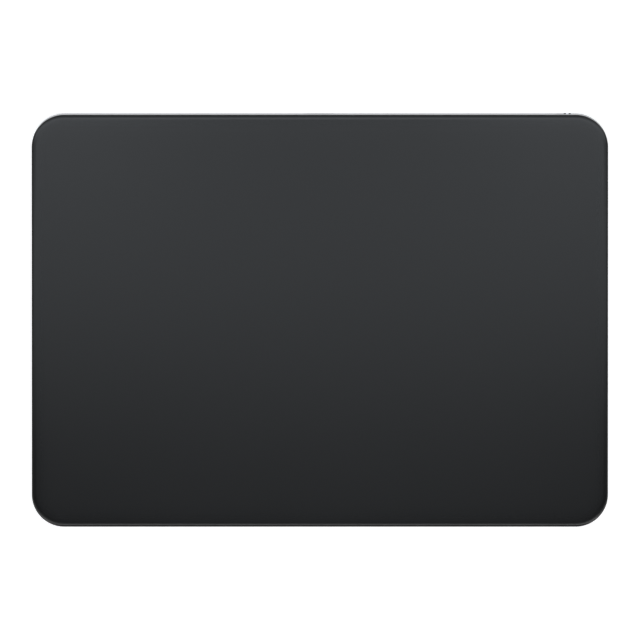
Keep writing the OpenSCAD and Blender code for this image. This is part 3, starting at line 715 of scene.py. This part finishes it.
# Amber film over parallel copper runs
def cableFilm(look):
    finish = Finish("cableFilm", {"IOR": 1.6, "Coat Roughness": 0.08})
    runs = finish.step(finish.deckAxis(0).ripple(look["runPitch"]), *look["runEdge"])
    haze = finish.noise(look["hazeSize"], 3)
    amber = finish.blend(haze, look["dark"], look["light"])
    finish.give("Base Color", finish.blend(runs * 0.8, amber, look["copper"]))
    finish.give("Metallic", runs * look["metal"])
    finish.give("Roughness", look["roughness"] + haze * look["spread"])
    finish.give("Coat Weight", look["coat"] + haze * look["coatSpread"])
    finish.relief(runs, *look["relief"])
    return finish


antennaLook = {
    "dark": (0.58, 0.55, 0.46, 1),
    "light": (0.70, 0.67, 0.58, 1),
    "silver": (0.74, 0.73, 0.70, 1),
    "bandStart": 1.1,
    "bandFull": 1.0,
    "bandPolish": 0.2,
    "grainSize": 0.15,
    "roughness": 0.5,
    "spread": 0.15,
    "relief": (0.01, 0.4),
}


# Fired body with silvered end bands
def antennaCeramic(look):
    finish = Finish("antennaCeramic", {"IOR": 1.6})
    low, high = deckBox("antenna")
    half = (high.x - low.x) / 2
    fromMid = abs(finish.deckAxis(0) - (low.x + high.x) / 2)
    bands = finish.step(fromMid, half - look["bandStart"], half - look["bandFull"])
    grain = finish.noise(look["grainSize"], 3)
    fired = finish.blend(grain, look["dark"], look["light"])
    polished = look["roughness"] - bands * look["bandPolish"]
    finish.give("Base Color", finish.blend(bands, fired, look["silver"]))
    finish.give("Metallic", bands)
    finish.give("Roughness", polished + (grain - 0.5) * look["spread"])
    finish.relief(grain, *look["relief"])
    return finish


flagLook = {
    "dark": (0.045, 0.36, 0.075, 1),
    "light": (0.075, 0.47, 0.11, 1),
    "inkSize": 0.12,
    "roughness": 0.3,
    "spread": 0.12,
    "relief": (0.004, 0.3),
}


def flagFilm(look):
    finish = Finish("flagFilm", {"IOR": 1.5})
    finish.follow(finish.noise(look["inkSize"], 2), look)
    return finish


finishes = {
    "cover_glass": satinGlass(glassLook),
    "body_aluminium": blastedMetal("bodyAluminium", bodyLook),
    "base_plastic": mouldedPlastic("baseCoverPlastic", coverLook),
    "foot_rubber": footRubber(footLook),
    "gasket_foam": gasketFoam(foamLook),
    "bond_film": bondFilm(bondLook),
    "circuit_board": boardMask(boardLook),
    "chip_black": chipEpoxy(chipLook),
    "socket_plastic": socketNylon(nylonLook),
    "sheet_steel": rolledMetal("rolledSteel", steelLook),
    "screw_steel": screwSteel(screwLook),
    "magnet_nickel": rolledMetal("magnetNickel", magnetLook),
    "coil_copper": coilCopper(coilLook),
    "gel": clearGel(gelLook),
    "cell_foil": pouchFoil(foilLook),
    "tab_nickel": rolledMetal("tabNickel", tabLook),
    "cable_film": cableFilm(cableLook),
    "contact_gold": rolledMetal("contactGold", goldLook),
    "antenna_ceramic": antennaCeramic(antennaLook),
    "knob_aluminium": blastedMetal("knobAluminium", knobLook),
    "flag_green": flagFilm(flagLook),
}
# The ends beside the knob's ridge take a painted shadow
ridgeShadeFinish = mouldedPlastic("ridgeShadePaint", ridgeShadeLook)
print("finishes mixed for", len(finishes), "slots")


# Glass plate: a flat face, a barely crowned border, a soft curve and a small round-over

glass = {
    "cornerRadius": 9,
    "cornerSteps": 32,
    "flatLead": 0.2,
    "crownWidth": 6,
    "crownSlope": 0.9,
    "crownSteps": 10,
    "curveWidth": 1.4,
    "curveRadius": 4,
    "curveLean": 17.3,
    "curveSteps": 8,
    "edgeSteps": 8,
    "chamfer": 0.12,
    "underLead": 1,
}
glassSize = deckBox("glass_plate")[1] - deckBox("glass_plate")[0]


# Goes on from a profile's last point, down along an arc from one slope to another
def bendDown(profile, radius, start, end, steps):
    inset, z = profile[-1]
    for step in range(1, steps + 1):
        angle = start + (end - start) * step / steps
        out = radius * (math.sin(angle) - math.sin(start))
        profile.append((inset - out, z - radius * (math.cos(start) - math.cos(angle))))


def glassProfile():
    crown = glass["crownWidth"]
    slope = math.radians(glass["crownSlope"])
    lean = math.radians(glass["curveLean"])
    profile = [(glass["curveWidth"] + crown + glass["flatLead"], 0)]
    for step in range(glass["crownSteps"] + 1):
        run = crown * step / glass["crownSteps"]
        profile.append((glass["curveWidth"] + crown - run, -slope * run * run / (2 * crown)))
    bendDown(profile, glass["curveRadius"], slope, lean, glass["curveSteps"])
    edgeRadius = profile[-1][0] / (1 - math.sin(lean))
    bendDown(profile, edgeRadius, lean, math.radians(90), glass["edgeSteps"])
    under = -glassSize.z
    profile.append((0, under + glass["chamfer"]))
    profile.append((glass["chamfer"], under))
    profile.append((glass["chamfer"] + glass["underLead"], under))
    return profile


def makeGlass():
    rings = flatRings(glassSize, glass["cornerRadius"], glassProfile(), steps=glass["cornerSteps"])
    sheet = pieceFrom("glassPlate", loft(rings))
    standFor(sheet, "glass_plate", finishes["cover_glass"])


makeGlass()

# Rim gasket: a foam line that bulges a little under the glass's edge

gasket = {"step": 0.35, "width": 0.9, "bulge": 0.1, "steps": 8}


def makeGasket():
    low, high = deckBox("rim_gasket")
    mid = (low.z + high.z) / 2
    half = (high.z - low.z) / 2
    profile = []
    for step in range(gasket["steps"] + 1):
        angle = math.radians(180 * step / gasket["steps"] - 90)
        profile.append((gasket["bulge"] * (1 - math.cos(angle)), mid + half * math.sin(angle)))
    profile.append((gasket["width"], high.z))
    profile.append((gasket["width"], low.z))
    rings = flatRings(high - low, glass["cornerRadius"] - gasket["step"], profile)
    seal = pieceFrom("rimGasket", loft(rings, closed=True))
    standFor(seal, "rim_gasket", finishes["gasket_foam"])
    travel = joints["plate_press"]["range_m"][1] / mm
    1 - travel / (high.z - low.z)
    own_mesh(seal)


makeGasket()
print("glass and gasket laid")


# Enclosure: one tray of blasted aluminium, with eased edges, bosses and threaded holes

tray = {
    "wall": 1.6,
    "rimEase": 0.12,
    "baseRound": 0.5,
    "roundSteps": 8,
    "floorTop": 1.9,
    "recessGap": 0.1,
    "recessEase": 0.1,
    "recessRadius": 7.6,
    "bossRadius": 2,
    "bossFoot": 0.35,
    "rootSide": 9,
    "rootRound": 0.05,
    "screwEdge": 1.9,
    "screwHead": 1.3,
    "innerScrew": 42,
    "threadRadius": 0.75,
    "threadDepth": 1.25,
}
port = {"width": 8.94, "height": 3.16, "wall": 0.3, "gap": 0.12, "recess": 0.1, "drop": 5.6, "lip": 0.1}
plate = {"gap": 0.05, "ease": 0.06, "mouthEase": 0.15, "round": 0.12, "notchRound": 0.02}
knob = {
    "width": 2.6,
    "gap": 0.15,
    "recess": 0.1,
    "faceEase": 0.1,
    "slotHeight": 2,
    "slotWall": 1,
    "slotEase": 0.12,
    "pocketRound": 0.1,
    "flange": 0.5,
    "flangeGap": 0.1,
    "flangeRound": 0.15,
    "ridgeWidth": 1.9,
    "ridgeHeight": 1.2,
    "ridgeRound": 0.1,
    "ridgeCorner": 0.12,
    # The ridge's two ends, which are coloured as painted shadow
    "shadeEndWidth": 0.56,
    "shadeEndRound": 0.16,
    "shadeEndCorner": 0.18,
    "roundSteps": 6,
    "lever": (1.32, 1.02, 0.36),
    "leverRound": 0.05,
}
rearFace = glassHigh.y - deckMid.y / mm
knobTravel = joints["power_switch_slide"]["range_m"][1] / mm
knobLow, knobHigh = deckBox("power_knob")
knobX = (knobLow.x + knobHigh.x) / 2
slotX = knobX - knobTravel / 2
slotWidth = knob["width"] + knobTravel + 2 * knob["gap"]
wallMidZ = -port["drop"]


def trayBlank():
    base = floorBox("enclosure")[0].z
    top = deckBox("enclosure")[1].z
    profile = [(tray["rimEase"], top), (0, top - tray["rimEase"])]
    rings = flatRings(glassSize, glass["cornerRadius"], profile)
    for cosine, sine in quarterTurn(tray["roundSteps"]):
        inset = tray["baseRound"] * (1 - cosine)
        height = base + tray["baseRound"] * (1 - sine)
        rings.append(levelRing(flatRings(glassSize, glass["cornerRadius"], [(inset, 0)])[0], height))
    return pieceFrom("enclosureTray", loft(rings))


def trayCavity():
    top, floor = flatRings(glassSize, glass["cornerRadius"], [(tray["wall"], overcut), (tray["wall"], 0)])
    return [top, levelRing(floor, tray["floorTop"])]


def coverRecess():
    low, high = floorBox("bottom_cover")
    size = high - low + 2 * Vector((tray["recessGap"],) * 3)
    ease = tray["recessEase"]
    top = floorBox("cover_bond")[1].z
    profile = [(-3 * ease, low.z - 2 * ease), (0, low.z + ease), (0, top)]
    return flatRings(size, tray["recessRadius"], profile, (low + high) / 2)


def bossPlaces():
    side = tray["rootSide"]
    edge = tray["screwEdge"]
    disc = roundedOutline(2 * tray["bossRadius"], 2 * tray["bossRadius"], tray["bossRadius"], steps=10)
    square = roundedOutline(side, side, tray["rootRound"], steps=2)
    bosses = []
    for corner in corners:
        low, high = deckBox("flexure_" + corner)
        sideX = 1 if "right" in corner else -1
        x = (low.x + high.x) / 2
        y = low.y + side / 2 if "rear" in corner else high.y - side / 2
        screws = [(x + sideX * (side / 2 - edge), y + end * (side / 2 - edge)) for end in (-1, 1)]
        bosses.append({"mid": (x, y), "top": low.z, "outline": square, "screws": screws})
    low, high = deckBox("haptic_bracket")
    spots = [(x, y, low.z) for x in (low.x + edge, high.x - edge) for y in (low.y + edge, high.y - edge)]
    low = deckBox("main_board")[0]
    outer = deckBox("board_screws")[1].x - tray["screwHead"]
    for x in (-outer, -tray["innerScrew"], tray["innerScrew"], outer):
        spots.append((x, low.y + edge, low.z))
    for x, y, top in spots:
        bosses.append({"mid": (x, y), "top": top, "outline": disc, "screws": [(x, y)]})
    return bosses


# Bosses stand in the floor and end square to the glass
def bossRings(boss):
    x, y = boss["mid"]
    upper = [Vector((p.x + x, p.y + y, boss["top"])) for p in boss["outline"]]
    return [upper, levelRing(upper, tray["floorTop"] - tray["bossFoot"])]


# A cutter's way out through the rear face, which eases the edge that it leaves
def throughRear(start, ease):
    return [(0, start), (0, rearFace - ease), (-2 * ease, rearFace + ease)]


def makeTray():
    shell = trayBlank()
    carve(shell, trayCavity())
    carve(shell, coverRecess(), floorPlace)
    bosses = bossPlaces()
    for boss in bosses:
        weldOn(shell, bossRings(boss))
    thread = 2 * tray["threadRadius"]
    for boss in bosses:
        profile = [(0, boss["top"] + overcut), (0, boss["top"] - tray["threadDepth"])]
        for screw in boss["screws"]:
            carve(shell, flatRings((thread, thread), thread / 2, profile, screw, steps=8))
    # The notch for the port's plate, open at the rim
    low, high = deckBox("port_plate")
    size = (high.x - low.x + 2 * plate["gap"], 2 * (high.z - low.z))
    profile = throughRear(low.y - overcut, plate["ease"])
    carve(shell, wallRings(size, plate["notchRound"], profile, (0, low.z + size[1] / 2), steps=2))
    # The knob's slot, and the pocket behind it
    inside = rearFace - 2 * tray["wall"]
    mid = (slotX, wallMidZ)
    size = (slotWidth, knob["slotHeight"])
    carve(shell, wallRings(size, size[1] / 2, throughRear(inside, knob["slotEase"]), mid))
    spare = 4 * knob["flangeGap"]
    size = (knobHigh.x - knobLow.x + knobTravel + spare, knobHigh.z - knobLow.z + spare)
    profile = [(0, inside), (0, rearFace - knob["slotWall"])]
    carve(shell, wallRings(size, knob["pocketRound"], profile, mid, steps=4))
    standFor(shell, "enclosure", finishes["body_aluminium"])


makeTray()


def makePortPlate():
    low, high = deckBox("port_plate")
    ease = plate["ease"]
    size = (high.x - low.x, high.z - low.z)
    mid = (0, (low.z + high.z) / 2)
    profile = [(ease, low.y), (0, low.y + ease), (0, rearFace - ease), (ease, rearFace)]
    panel = pieceFrom("portPlate", loft(wallRings(size, plate["round"], profile, mid, steps=4)))
    hole = (port["width"] + 2 * port["gap"], port["height"] + 2 * port["gap"])
    profile = throughRear(low.y - overcut, plate["mouthEase"])
    carve(panel, wallRings(hole, hole[1] / 2, profile, (0, wallMidZ), steps=16))
    standFor(panel, "port_plate", finishes["body_aluminium"])


makePortPlate()
print("tray milled")


# Charging port: a drawn shell with a rolled lip, and a tongue with an eased tip

wing = {"reach": 1, "depth": 1.2, "round": 0.1}
tongue = {"width": 6.69, "thick": 0.7, "round": 0.2, "block": 2, "gap": 0.05, "ease": 0.18}


def makePort():
    back = deckBox("port_shell")[0].y
    mouth = rearFace - port["recess"]
    wall = port["wall"]
    lip = port["lip"]
    bend = lip * easeBend
    profile = [
        (bend, mouth - bend),
        (lip, mouth),
        (wall - lip, mouth),
        (wall - bend, mouth - bend),
        (wall, mouth - lip),
        (wall, back),
        (0, back),
        (0, mouth - lip),
    ]
    size = (port["width"], port["height"])
    rings = wallRings(size, size[1] / 2, profile, (0, wallMidZ), steps=16)
    shell = pieceFrom("portShell", loft(rings, closed=True))
    board = deckBox("main_board")[1]
    span = (wing["reach"] + wall, wing["depth"])
    profile = [(0, board.z), (0, board.z + wall)]
    for side in (-1, 1):
        x = side * (port["width"] + wing["reach"] - wall) / 2
        for y in (back + wing["depth"], board.y - wing["depth"]):
            weldOn(shell, flatRings(span, wing["round"], profile, (x, y), steps=3))
    standFor(shell, "port_shell", finishes["sheet_steel"])


def makeTongue():
    low, high = deckBox("port_tongue")
    inner = [size - 2 * port["wall"] - 2 * tongue["gap"] for size in (port["width"], port["height"])]
    profile = [(0, low.y), (0, low.y + tongue["block"])]
    block = pieceFrom("portTongue", loft(wallRings(inner, inner[1] / 2, profile, (0, wallMidZ))))
    size = (tongue["width"], tongue["thick"])
    profile = [(0, low.y + tongue["block"] / 2)] + easedEdge(tongue["ease"], high.y)
    weldOn(block, wallRings(size, tongue["round"], profile, (0, wallMidZ), steps=4))
    standFor(block, "port_tongue", finishes["chip_black"])


makePort()
makeTongue()


# Power knob: a flange behind the wall, a plate in the slot and a rounded ridge for the finger

# From a start to the ridge's outermost point, with a rounded edge
def roundedEnd(start, crown):
    profile = [(0, start)]
    for cosine, sine in quarterTurn(knob["roundSteps"]):
        profile.append((crown * (1 - cosine), knobHigh.y - crown * (1 - sine)))
    return profile


def makeKnob():
    flangeY = rearFace - knob["slotWall"] - knob["flangeGap"]
    mid = (knobX, wallMidZ)
    size = (knobHigh.x - knobLow.x, knobHigh.z - knobLow.z)
    profile = [(0, flangeY - knob["flange"]), (0, flangeY)]
    slider = pieceFrom("powerKnob", loft(wallRings(size, knob["flangeRound"], profile, mid, steps=4)))
    size = (knob["width"], knob["slotHeight"] - 2 * knob["gap"])
    face = easedEdge(knob["faceEase"], rearFace - knob["recess"])
    profile = [(0, flangeY - knob["flange"] / 2)] + face
    weldOn(slider, wallRings(size, size[1] / 2, profile, mid, steps=16))
    size = (knob["ridgeWidth"] - 2 * knob["shadeEndWidth"], knob["ridgeHeight"])
    profile = roundedEnd(flangeY, knob["ridgeRound"])
    weldOn(slider, wallRings(size, knob["ridgeCorner"], profile, mid, steps=6))
    width, height, depth = knob["lever"]
    profile = [(0, flangeY - 2 * knob["flange"]), (0, flangeY - knob["flange"] + depth)]
    carve(slider, wallRings((width, height), knob["leverRound"], profile, mid, steps=2))
    standFor(slider, "power_knob", finishes["knob_aluminium"])


# Near-black ends on both sides of the ridge's bar: their colour is painted shadow beside the ridge
def makeRidgeShade(name, side):
    size = (knob["shadeEndWidth"], knob["ridgeHeight"])
    mid = (knobX + side * (knob["ridgeWidth"] - knob["shadeEndWidth"]) / 2, wallMidZ)
    profile = roundedEnd(rearFace - knob["recess"] - knob["faceEase"], knob["shadeEndRound"])
    shadeEnd = pieceFrom(name, loft(wallRings(size, knob["shadeEndCorner"], profile, mid, steps=6)))
    smoothOver(shadeEnd, ridgeShadeFinish)
    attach(shadeEnd, bodyOf["power_knob"])


# Green film on the flange, cut out round the knob's plate, with its far edges behind the wall
flag = {"cover": 0.45, "lap": 0.25, "gap": 0.03, "round": 0.2}


def makeFlag():
    low, high = deckBox("switch_flag")
    near = knobX - knob["width"] / 2 + flag["cover"]
    far = slotX - slotWidth / 2 - flag["lap"]
    size = (near - far, knob["slotHeight"] + 2 * flag["lap"])
    mid = ((near + far) / 2, wallMidZ)
    profile = [(0, low.y), (0, high.y)]
    film = pieceFrom("switchFlag", loft(wallRings(size, flag["round"], profile, mid, steps=4)))
    spare = flag["gap"] - knob["gap"]
    hole = (knob["width"] + 2 * flag["gap"], knob["slotHeight"] + 2 * spare)
    profile = [(0, low.y - overcut), (0, high.y + overcut)]
    carve(film, wallRings(hole, hole[1] / 2, profile, (knobX, wallMidZ), steps=16))
    standFor(film, "switch_flag", finishes["flag_green"])


makeKnob()
makeFlag()
makeRidgeShade("knobRidgeShadeLeft", -1)
makeRidgeShade("knobRidgeShadeRight", 1)
print("port and knob fitted")


# Bottom cover with seats for the feet, and the feet

cover = {"radius": 7.5, "ease": 0.12, "seatGap": 0.1, "seatEase": 0.08}
foot = {"round": 0.3, "roundSteps": 8, "topEase": 0.08, "sideSteps": 20}
footNodes = [node for node in nodes if node.startswith("foot_")]


def makeCover():
    low, high = floorBox("bottom_cover")
    profile = easedEdge(cover["ease"], low.z, -1)[::-1] + [(0, high.z)]
    rings = flatRings(high - low, cover["radius"], profile, (low + high) / 2)
    sheet = pieceFrom("bottomCover", loft(rings), floorPlace)
    ease = cover["seatEase"]
    for node in footNodes:
        footLow, footHigh = floorBox(node)
        mid = (footLow + footHigh) / 2
        side = footHigh.x - footLow.x + 2 * cover["seatGap"]
        profile = [(-2 * ease, low.z - ease), (0, low.z + ease), (0, footHigh.z)]
        carve(sheet, flatRings((side, side), side / 2, profile, mid, foot["sideSteps"]), floorPlace)
    standFor(sheet, "bottom_cover", finishes["base_plastic"])


def makeFoot(node):
    low, high = floorBox(node)
    side = high.x - low.x
    profile = []
    for cosine, sine in quarterTurn(foot["roundSteps"]):
        profile.append((foot["round"] * (1 - sine), low.z + foot["round"] * (1 - cosine)))
    profile.append((0, high.z - foot["topEase"]))
    profile.append((foot["topEase"], high.z))
    rings = flatRings((side, side), side / 2, profile, (low + high) / 2, foot["sideSteps"])
    pad = pieceFrom(node + "_pad", loft(rings), floorPlace)
    standFor(pad, node, finishes["foot_rubber"])


makeCover()
for node in footNodes:
    makeFoot(node)
print("cover and feet stuck on")


# Pieces that bend or shear between two bodies: finer copies of their solids, cut into slices along their
# length
# Points closer than weld are joined first, and slivers are taken out after the cuts

supple = {"cuts": 14, "weld": 0.0001, "sliver": 0.003, "tipLength": 7, "cableEnd": 0.3}


def makeSupple(node, start, end):
    mesh = bmesh.new()
    mesh.from_mesh(nodes[node].data)
    bmesh.ops.remove_doubles(mesh, verts=mesh.verts, dist=supple["weld"] * mm)
    run = end - start
    for cut in range(1, supple["cuts"]):
        parts = mesh.verts[:] + mesh.edges[:] + mesh.faces[:]
        bmesh.ops.bisect_plane(mesh, geom=parts, plane_co=start + run * cut / supple["cuts"], plane_no=run)
    bmesh.ops.dissolve_degenerate(mesh, dist=supple["sliver"] * mm, edges=mesh.edges)
    piece = pieceFrom(node + "_supple", mesh, Matrix.Identity(4))
    smoothOver(piece, finishes[slotOf[node]])
    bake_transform(piece)
    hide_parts(node)


for corner in corners:
    low, high = deckBox("flexure_" + corner)
    mid = (low + high) / 2
    if "rear" in corner:
        ends = (low.y + tray["rootSide"], high.y - supple["tipLength"])
    else:
        ends = (high.y - tray["rootSide"], low.y + supple["tipLength"])
    start, end = (deckPlace @ Vector((mid.x, y, mid.z)) for y in ends)
    makeSupple("flexure_" + corner, start, end)
    low, high = deckBox("gel_pad_" + corner)
    start, end = (deckPlace @ Vector((low.x, low.y, z)) for z in (low.z, high.z))
    makeSupple("gel_pad_" + corner, start, end)
low, high = deckBox("touch_cable")
ends = (low.z + supple["cableEnd"], high.z - supple["cableEnd"])
start, end = (deckPlace @ Vector((low.x, low.y, z)) for z in ends)
makeSupple("touch_cable", start, end)

# Every other solid keeps its shape and takes its slot's finish
for node, solid in nodes.items():
    if solid.hide_render:
        continue
    solid.data.materials.clear()
    solid.data.materials.append(finishes[slotOf[node]].material)
print("inner pieces coated")


# Studio: pale paper that glows a little, soft panels and the long lens straight above

studio = {
    "paperSide": 6,
    "paperLight": (0.94, 0.94, 0.94, 1),
    "paperDark": (0.92, 0.92, 0.92, 1),
    "fibreSize": 0.8,
    "roughness": 0.85,
    "spread": 0.1,
    "glow": 0.63,
    "skyColour": (1, 1, 1, 1),
    "skyStrength": 0.05,
}


def makePaper():
    mesh = bmesh.new()
    bmesh.ops.create_grid(mesh, x_segments=8, y_segments=8, size=studio["paperSide"] / 2)
    paper = pieceFrom("paperFloor", mesh, Matrix.Identity(4))
    lit = {"Emission Color": studio["paperLight"], "Emission Strength": studio["glow"]}
    finish = Finish("palePaper", {"IOR": 1.3, **lit})
    fibre = finish.noise(studio["fibreSize"], 4)
    finish.give("Base Color", finish.blend(fibre, studio["paperDark"], studio["paperLight"]))
    finish.give("Roughness", studio["roughness"] + fibre * studio["spread"])
    paper.data.materials.append(finish.material)


makePaper()

world = bpy.data.worlds.new("studioAir")
bpy.context.scene.world = world
world.use_nodes = True
sky = world.node_tree.nodes["Background"]
sky.inputs["Color"].default_value = studio["skyColour"]
sky.inputs["Strength"].default_value = studio["skyStrength"]

# Places and sizes in metres, power in watts. The soft box over the glass is cut into bands, which set how
# its sheen fades to the front. The panels round the object are aimed at its middle
softBoxColour = (0.878, 0.938, 1)
softBox = {
    "overBack": {"place": (0, 0.18, 0.32), "size": (0.5, 0.1), "power": 0.1087},
    "overRear": {"place": (0, 0.09, 0.32), "size": (0.5, 0.08), "power": 0.2195},
    "overMiddle": {"place": (0, 0.02875, 0.32), "size": (0.5, 0.0425), "power": 0.029},
    "overFront": {"place": (0, -0.01375, 0.32), "size": (0.5, 0.0425), "power": 0.0793},
    "overFore": {"place": (0, -0.04875, 0.32), "size": (0.5, 0.0275), "power": 0.0205},
    "overLip": {"place": (0, -0.09, 0.31), "size": (0.14, 0.08), "power": 0.0065},
    "overNear": {"place": (0, -0.19, 0.31), "size": (0.5, 0.12), "power": 0.032},
    "overLeft": {"place": (-0.08, 0.035, 0.29), "size": (0.05, 0.03), "power": 0.0064},
    "overRight": {"place": (0.08, 0.035, 0.29), "size": (0.05, 0.03), "power": 0.0064},
}
panels = {
    "left": {"place": (-0.95, 0, 0.9), "size": (1.2, 0.5), "power": 0.96},
    "right": {"place": (0.95, 0, 0.9), "size": (1.2, 0.5), "power": 0.96},
    "rearLeft": {"place": (-0.7, 0.7, 0.9), "size": (0.8, 0.5), "power": 0.7},
    "rearRight": {"place": (0.7, 0.7, 0.9), "size": (0.8, 0.5), "power": 1.25},
    "frontLeft": {"place": (-0.7, -0.7, 0.8), "size": (0.8, 0.5), "power": 2.2},
    "frontRight": {"place": (0.7, -0.7, 0.8), "size": (0.8, 0.5), "power": 2.2},
    "front": {"place": (0, -0.68, 1.05), "size": (1.2, 0.16), "power": 1.36},
}


def makePanel(name, panel, aim, colour=(1, 1, 1)):
    light = bpy.data.lights.new(name + "Panel", "AREA")
    light.shape = "RECTANGLE"
    light.size, light.size_y = panel["size"]
    light.color = colour
    light.energy = panel["power"] / colour[1]
    lamp = bpy.data.objects.new(name + "Panel", light)
    lamp.location = panel["place"]
    lamp.visible_camera = False
    lamp.rotation_euler = (Vector(aim) - lamp.location).to_track_quat("-Z", "Y").to_euler()
    bpy.context.scene.collection.objects.link(lamp)


for name, band in softBox.items():
    below = (band["place"][0], band["place"][1], 0)
    makePanel(name, band, below, softBoxColour)
for name, panel in panels.items():
    makePanel(name, panel, (0, 0, 0))

# Frame width and the middle of the view in millimetres, clip in metres
camera = {"lens": 1500, "sensor": 36, "frameWidth": 177.64, "middle": (0.029, -0.01), "clip": (0.1, 100)}


def makeCamera():
    lens = bpy.data.cameras.new("longLens")
    lens.lens = camera["lens"]
    lens.sensor_width = camera["sensor"]
    lens.clip_start, lens.clip_end = camera["clip"]
    eye = bpy.data.objects.new("longLens", lens)
    distance = camera["frameWidth"] * mm * camera["lens"] / camera["sensor"]
    glassHeight = (deckPlace @ Vector((0, 0, 0))).z
    eye.location = (camera["middle"][0] * mm, camera["middle"][1] * mm, glassHeight + distance)
    bpy.context.scene.collection.objects.link(eye)
    bpy.context.scene.camera = eye


makeCamera()
bpy.context.scene.view_settings.view_transform = "Standard"
print("studio lit")
